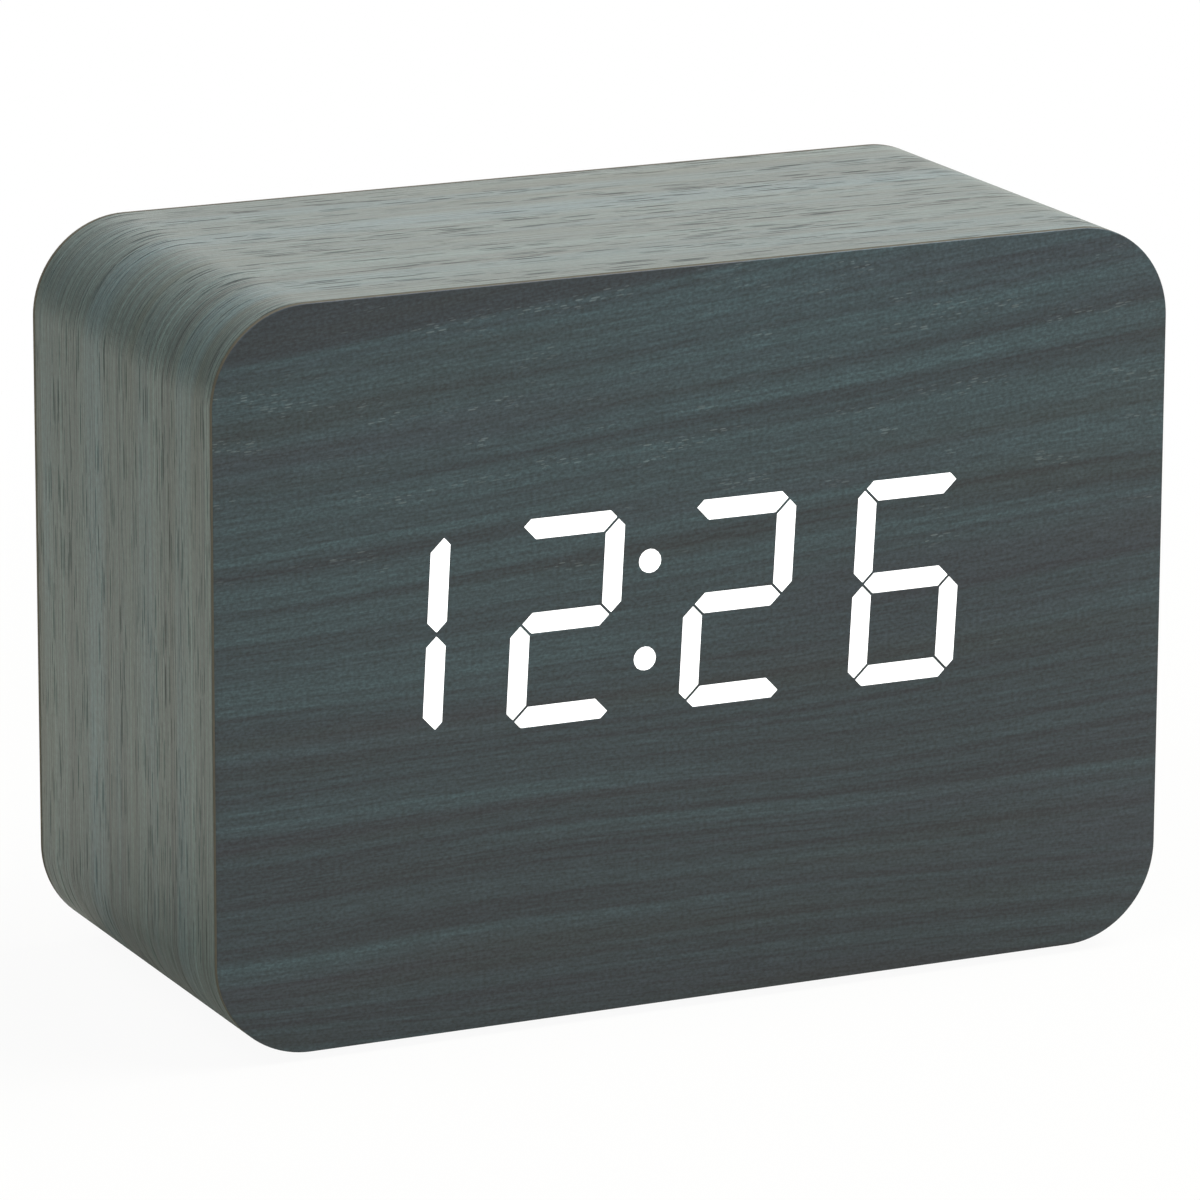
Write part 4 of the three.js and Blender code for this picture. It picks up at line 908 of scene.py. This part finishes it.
def mouldedCopy(node, name, plane, width):
    look = mouldLook
    build = welded(frame["nodes"][node].data)
    within = math.radians(look["flatWithin"])
    bmesh.ops.dissolve_limit(build, angle_limit=within, verts=build.verts, edges=build.edges)
    weight = build.edges.layers.float.new("bevel_weight_edge")
    for edge in build.edges:
        outer = plane is None or all(abs(v.co.y - plane * mm) < flatReach for v in edge.verts)
        if outer and edge.is_manifold and edge.calc_face_angle(0) > math.radians(look["easedFrom"]):
            edge[weight] = 1
    host = newObject(name + "Host", meshOf(build))
    bevel = host.modifiers.new("easedEdges", "BEVEL")
    bevel.limit_method = "WEIGHT"
    bevel.width = width * mm
    bevel.segments = look["steps"]
    bevel.use_clamp_overlap = False
    piece = smoothed(plainPiece(host, name))
    build = bmesh.new()
    build.from_mesh(piece.data)
    for edge in build.edges:
        facing = [abs(face.normal.y) > look["flatFace"] for face in edge.link_faces]
        edge.smooth = edge.smooth and len(set(facing)) == 1  # flat faces stay flat beside their eased edges
    build.to_mesh(piece.data)
    build.free()
    return piece


for node, name, body in (
    ("rear_panel", "rearPanelMoulding", "case"), ("battery_door", "batteryDoorMoulding", "door"),
):
    moulding = mouldedCopy(node, name, mouldLook["face"], mouldLook["edge"])
    finished(moulding, body, [node], [finishes["texturedPanelAbs"]])
usbShell = mouldedCopy("usb_socket", "usbShell", None, mouldLook["shellEdge"])
finished(usbShell, "case", ["usb_socket"], [finishes["nickelPlatedSteel"]])

buttonLook = {
    "x": 26.55, "places": {"set": 41.25, "up": 33.85, "down": 26.45}, "facets": 48,
    "radius": 2.5, "collar": 3.2, "collarFrom": 19.45, "collarTo": 20.15,
    "top": 22.1, "dome": 0.3, "domeSteps": 8,
    "mark": 0.95, "barHalf": 0.25, "arrowFoot": 0.55, "markFrom": -0.2, "markTo": 0.08,
}


# One key: collar, barrel, domed top and a plain raised mark
def makeButton(name, z):
    look = buttonLook
    radius, collar, top, steps = look["radius"], look["collar"], look["top"], look["domeSteps"]
    dome = [
        (radius * math.cos(a), top - look["dome"] * (1 - math.sin(a)))
        for a in [math.pi / 2 * step / steps for step in range(1, steps)]
    ]
    profile = [
        (0, look["collarFrom"]), (collar, look["collarFrom"]), (collar, look["collarTo"]),
        (radius, look["collarTo"]), (radius, top - look["dome"]), *dome, (0, top),
    ]
    build = bmesh.new()
    turnInto(build, profile, look["facets"], "Y", (look["x"], z))
    reach, half = look["mark"], look["barHalf"]
    foot = reach * look["arrowFoot"]
    marks = {
        "set": [(-reach, -half), (reach, -half), (reach, half), (-reach, half)],
        "up": [(-reach, -foot), (reach, -foot), (0, reach)],
        "down": [(-reach, foot), (0, -reach), (reach, foot)],
    }
    outline = [(look["x"] + u, z + v) for u, v in marks[name]]
    count = len(build.faces)
    closedBetween(build, [ringOf(build, outline, top + y) for y in (look["markFrom"], look["markTo"])])
    build.faces.ensure_lookup_table()
    for face in build.faces[count:]:
        face.material_index = 1
    piece = smoothed(newObject(name + "Key", solidOf(build)))
    materials = [finishes["siliconeKeyRubber"], finishes["paleKeyMark"]]
    finished(piece, name + "_button", ["button_" + name], materials)


for name, z in buttonLook["places"].items():
    makeButton(name, z)
print("clock: moulded pieces eased")


# The cells: a printed sleeve shrunk over a steel can

cellLook = {
    "radius": 5.25, "length": 44.5, "nub": 1.9, "nubHeight": 0.8, "shoulder": 0.5, "y": 15.05, "facets": 64,
    "vent": (3.7, 3.8, 4.3, 4.4), "ventHeight": 1.0, "pan": (3.9, 3.7), "panDepth": 0.25,
    "easing": 0.15, "easeSteps": 3, "sleeveFrom": 0.05, "rightNub": 14.35, "leftNub": -33.35,
    "heights": (47.85, 36.85, 25.85), "pointsRight": (True, False, True),
    "sleeve": "#35574a", "band": "#c2c7c4", "bandEnd": 9.0,
    "line": "#e4b54a", "lineAt": 0.4, "lineHalf": 0.25,
    "marks": "#f0f1ee", "plusAt": 4.6, "minusAt": 40, "markHalf": 1.4, "strokeHalf": 0.3,
    "hazeScale": 0.4, "rough": (0.24, 0.3), "metallic": 0.3, "bump": 0.002, "bumpStrength": 0.1,
}


# Sleeve film: satin print in two fields with a thin line between, and a plain plus and minus
def makeSleeve():
    look = cellLook
    material, add = newMaterial("printedCellSleeve")
    flow = add("Attribute", attribute_name="cellFlow").outputs["Vector"]
    along, around, _ = add("SeparateXYZ", [flow]).outputs

    def span(socket, centre, half):
        offset = add("Math", [socket, centre], operation="SUBTRACT")
        size = add("Math", [offset], operation="ABSOLUTE")
        return add("Math", [size, half], operation="LESS_THAN")

    def stroke(centre, halfAlong, halfAround):
        sides = [span(along, centre, halfAlong), span(around, 0, halfAround)]
        return add("Math", sides, operation="MULTIPLY")

    long, thin = look["markHalf"], look["strokeHalf"]
    colour = layered(add, look["sleeve"], [
        (add("Math", [along, look["bandEnd"]], operation="LESS_THAN"), look["band"]),
        (span(along, look["bandEnd"] + look["lineAt"], look["lineHalf"]), look["line"]),
        (stroke(look["plusAt"], long, thin), look["sleeve"]),
        (stroke(look["plusAt"], thin, long), look["sleeve"]),
        (stroke(look["minusAt"], thin, long), look["marks"]),
    ])
    haze = add("TexNoise", {"Vector": flow, "Scale": look["hazeScale"], "Detail": 1})
    rough = add("MapRange", [haze, *noiseSpan, *look["rough"]], **smooth)
    closeMaterial(add, {"Base Color": colour, "Roughness": rough, "Metallic": look["metallic"]}, look, haze)
    return material


def makeCell(number, z, pointsRight, sleeve):
    look = cellLook
    radius, length, low, shoulder = look["radius"], look["length"], look["nubHeight"], look["shoulder"]
    rim, floor = radius - shoulder, length - look["panDepth"]
    start, way = (look["rightNub"], -1) if pointsRight else (look["leftNub"], 1)
    vent = zip(look["vent"], (low, look["ventHeight"], look["ventHeight"], low))
    panRim, panFloor = look["pan"]
    can = [(0, 0), (look["nub"], 0), (look["nub"], low), *vent, (rim, low), (radius, low + shoulder)]
    base = [(radius, length - shoulder), (rim, length), (panRim, length), (panFloor, floor), (0, floor)]
    easing, steps = look["easing"], look["easeSteps"]
    profile = eased(can, easing, steps) + eased(base, easing, steps)
    edge = rim - look["sleeveFrom"]
    slots = [0 if min(a[0], b[0]) > edge else 1 for a, b in zip(profile, profile[1:])]
    build = bmesh.new()
    turned = [(r, start + way * s) for r, s in profile]
    turnInto(build, turned, look["facets"], "X", (look["y"], z), slots)
    mesh = solidOf(build)
    flow = mesh.attributes.new("cellFlow", "FLOAT_VECTOR", "POINT")
    for index, vert in enumerate(mesh.vertices):
        along = (vert.co.x / mm - start) * way
        around = math.atan2(vert.co.z / mm - z, vert.co.y / mm - look["y"]) * radius
        flow.data[index].vector = (along, around, 0)
    piece = smoothed(newObject(f"cell{number}", mesh))
    finished(piece, "case", [f"cell_{number}"], [sleeve, finishes["nickelPlatedSteel"]])


sleeve = makeSleeve()
for number, (z, pointsRight) in enumerate(zip(cellLook["heights"], cellLook["pointsRight"]), 1):
    makeCell(number, z, pointsRight, sleeve)


# The contacts: pressed plates, three of them with a conical spring for a cell's flat end

contactLook = {
    "left": (-33.9, -33.5), "right": (14.5, 14.9), "halfWidth": 4.1, "corner": 0.8, "cornerSteps": 5,
    "tailWidth": 2.0, "tailFrom": 5.25, "y": 15.05,
    "springBase": 3.3, "springTip": 1.9, "springReach": 2.75, "wire": 0.3, "turns": 2.5,
    "springLift": 0.15, "turnSteps": 40, "wireFacets": 12,
}


def makeSpringTree():
    tree, add, given = newTree("contactSpring", {
        "Turns": "Float", "Base Radius": "Float", "Tip Radius": "Float", "Length": "Float", "Wire": "Float",
        "Place": "Vector", "Turn": "Vector", "Finish": "Material",
    })
    helix = add("GeometryNodeCurveSpiral", {
        "Resolution": contactLook["turnSteps"], "Rotations": given["Turns"], "Height": given["Length"],
        "Start Radius": given["Base Radius"], "End Radius": given["Tip Radius"],
    })
    section = add("GeometryNodeCurvePrimitiveCircle", {
        "Resolution": contactLook["wireFacets"], "Radius": given["Wire"],
    })
    coil = add("GeometryNodeCurveToMesh", {"Curve": helix, "Profile Curve": section, "Fill Caps": True})
    seated = add("GeometryNodeTransform", {
        "Geometry": coil, "Translation": given["Place"], "Rotation": given["Turn"],
    })
    whole = add("GeometryNodeJoinGeometry", {"Geometry": seated})
    tree.links.new(given["Geometry"], whole.inputs[0])
    closeTree(add, whole, given["Finish"])
    return tree


springTree = makeSpringTree()


def makeContact(node, name, side, low, high, springZ=None, tailZ=None):
    look = contactLook
    span = look[side]
    build = bmesh.new()

    def pressed(outline):
        closedBetween(build, [
            [build.verts.new((x * mm, y * mm, z * mm)) for y, z in outline] for x in span
        ])

    middle, reach = (look["y"], (low + high) / 2), look["halfWidth"]
    pressed(roundedOutline(middle, reach, (high - low) / 2 + reach, look["corner"], look["cornerSteps"]))
    if tailZ is not None:
        half = look["tailWidth"] / 2
        ends = (look["tailFrom"], look["y"])
        pressed([*((y, tailZ - half) for y in ends), *((y, tailZ + half) for y in reversed(ends))])
    piece = newObject(name, solidOf(build))
    materials = [finishes["nickelPlatedSteel"]]
    if springZ is not None:
        face, way = (span[1], 1) if side == "left" else (span[0], -1)
        piece = throughTree(piece, springTree, {
            "Turns": look["turns"], "Length": look["springReach"] * mm, "Wire": look["wire"] * mm,
            "Base Radius": look["springBase"] * mm, "Tip Radius": look["springTip"] * mm,
            "Place": ((face + way * look["springLift"]) * mm, look["y"] * mm, springZ * mm),
            "Turn": (0, way * math.pi / 2, 0),
            "Finish": materials.pop(),
        }, name)
    finished(smoothed(piece), "case", [node], materials)


topCell, middleCell, bottomCell = cellLook["heights"]
makeContact("contact_negative", "negativeContact", "left", topCell, topCell, springZ=topCell, tailZ=topCell)
makeContact("contact_positive", "positiveContact", "right", bottomCell, bottomCell, tailZ=bottomCell)
makeContact("contact_bridge_upper", "upperBridge", "right", middleCell, topCell, springZ=middleCell)
makeContact("contact_bridge_lower", "lowerBridge", "left", bottomCell, middleCell, springZ=bottomCell)
print("clock: cells and contacts")


# The CAD nodes that keep their shape get their finish
slotOf = {entry["node"]: entry["material_slot"] for entry in frame["record"]["subparts"]}
for node, piece in frame["nodes"].items():
    finish = cadFinishes.get(slotOf[node])
    if node == "display_board":
        finish = makeBoard("greenSolderMaskWithLamps", boardLook["displayFront"])
    if finish:
        piece.data.materials.clear()
        piece.data.materials.append(finish)
print("clock: every piece has its finish")
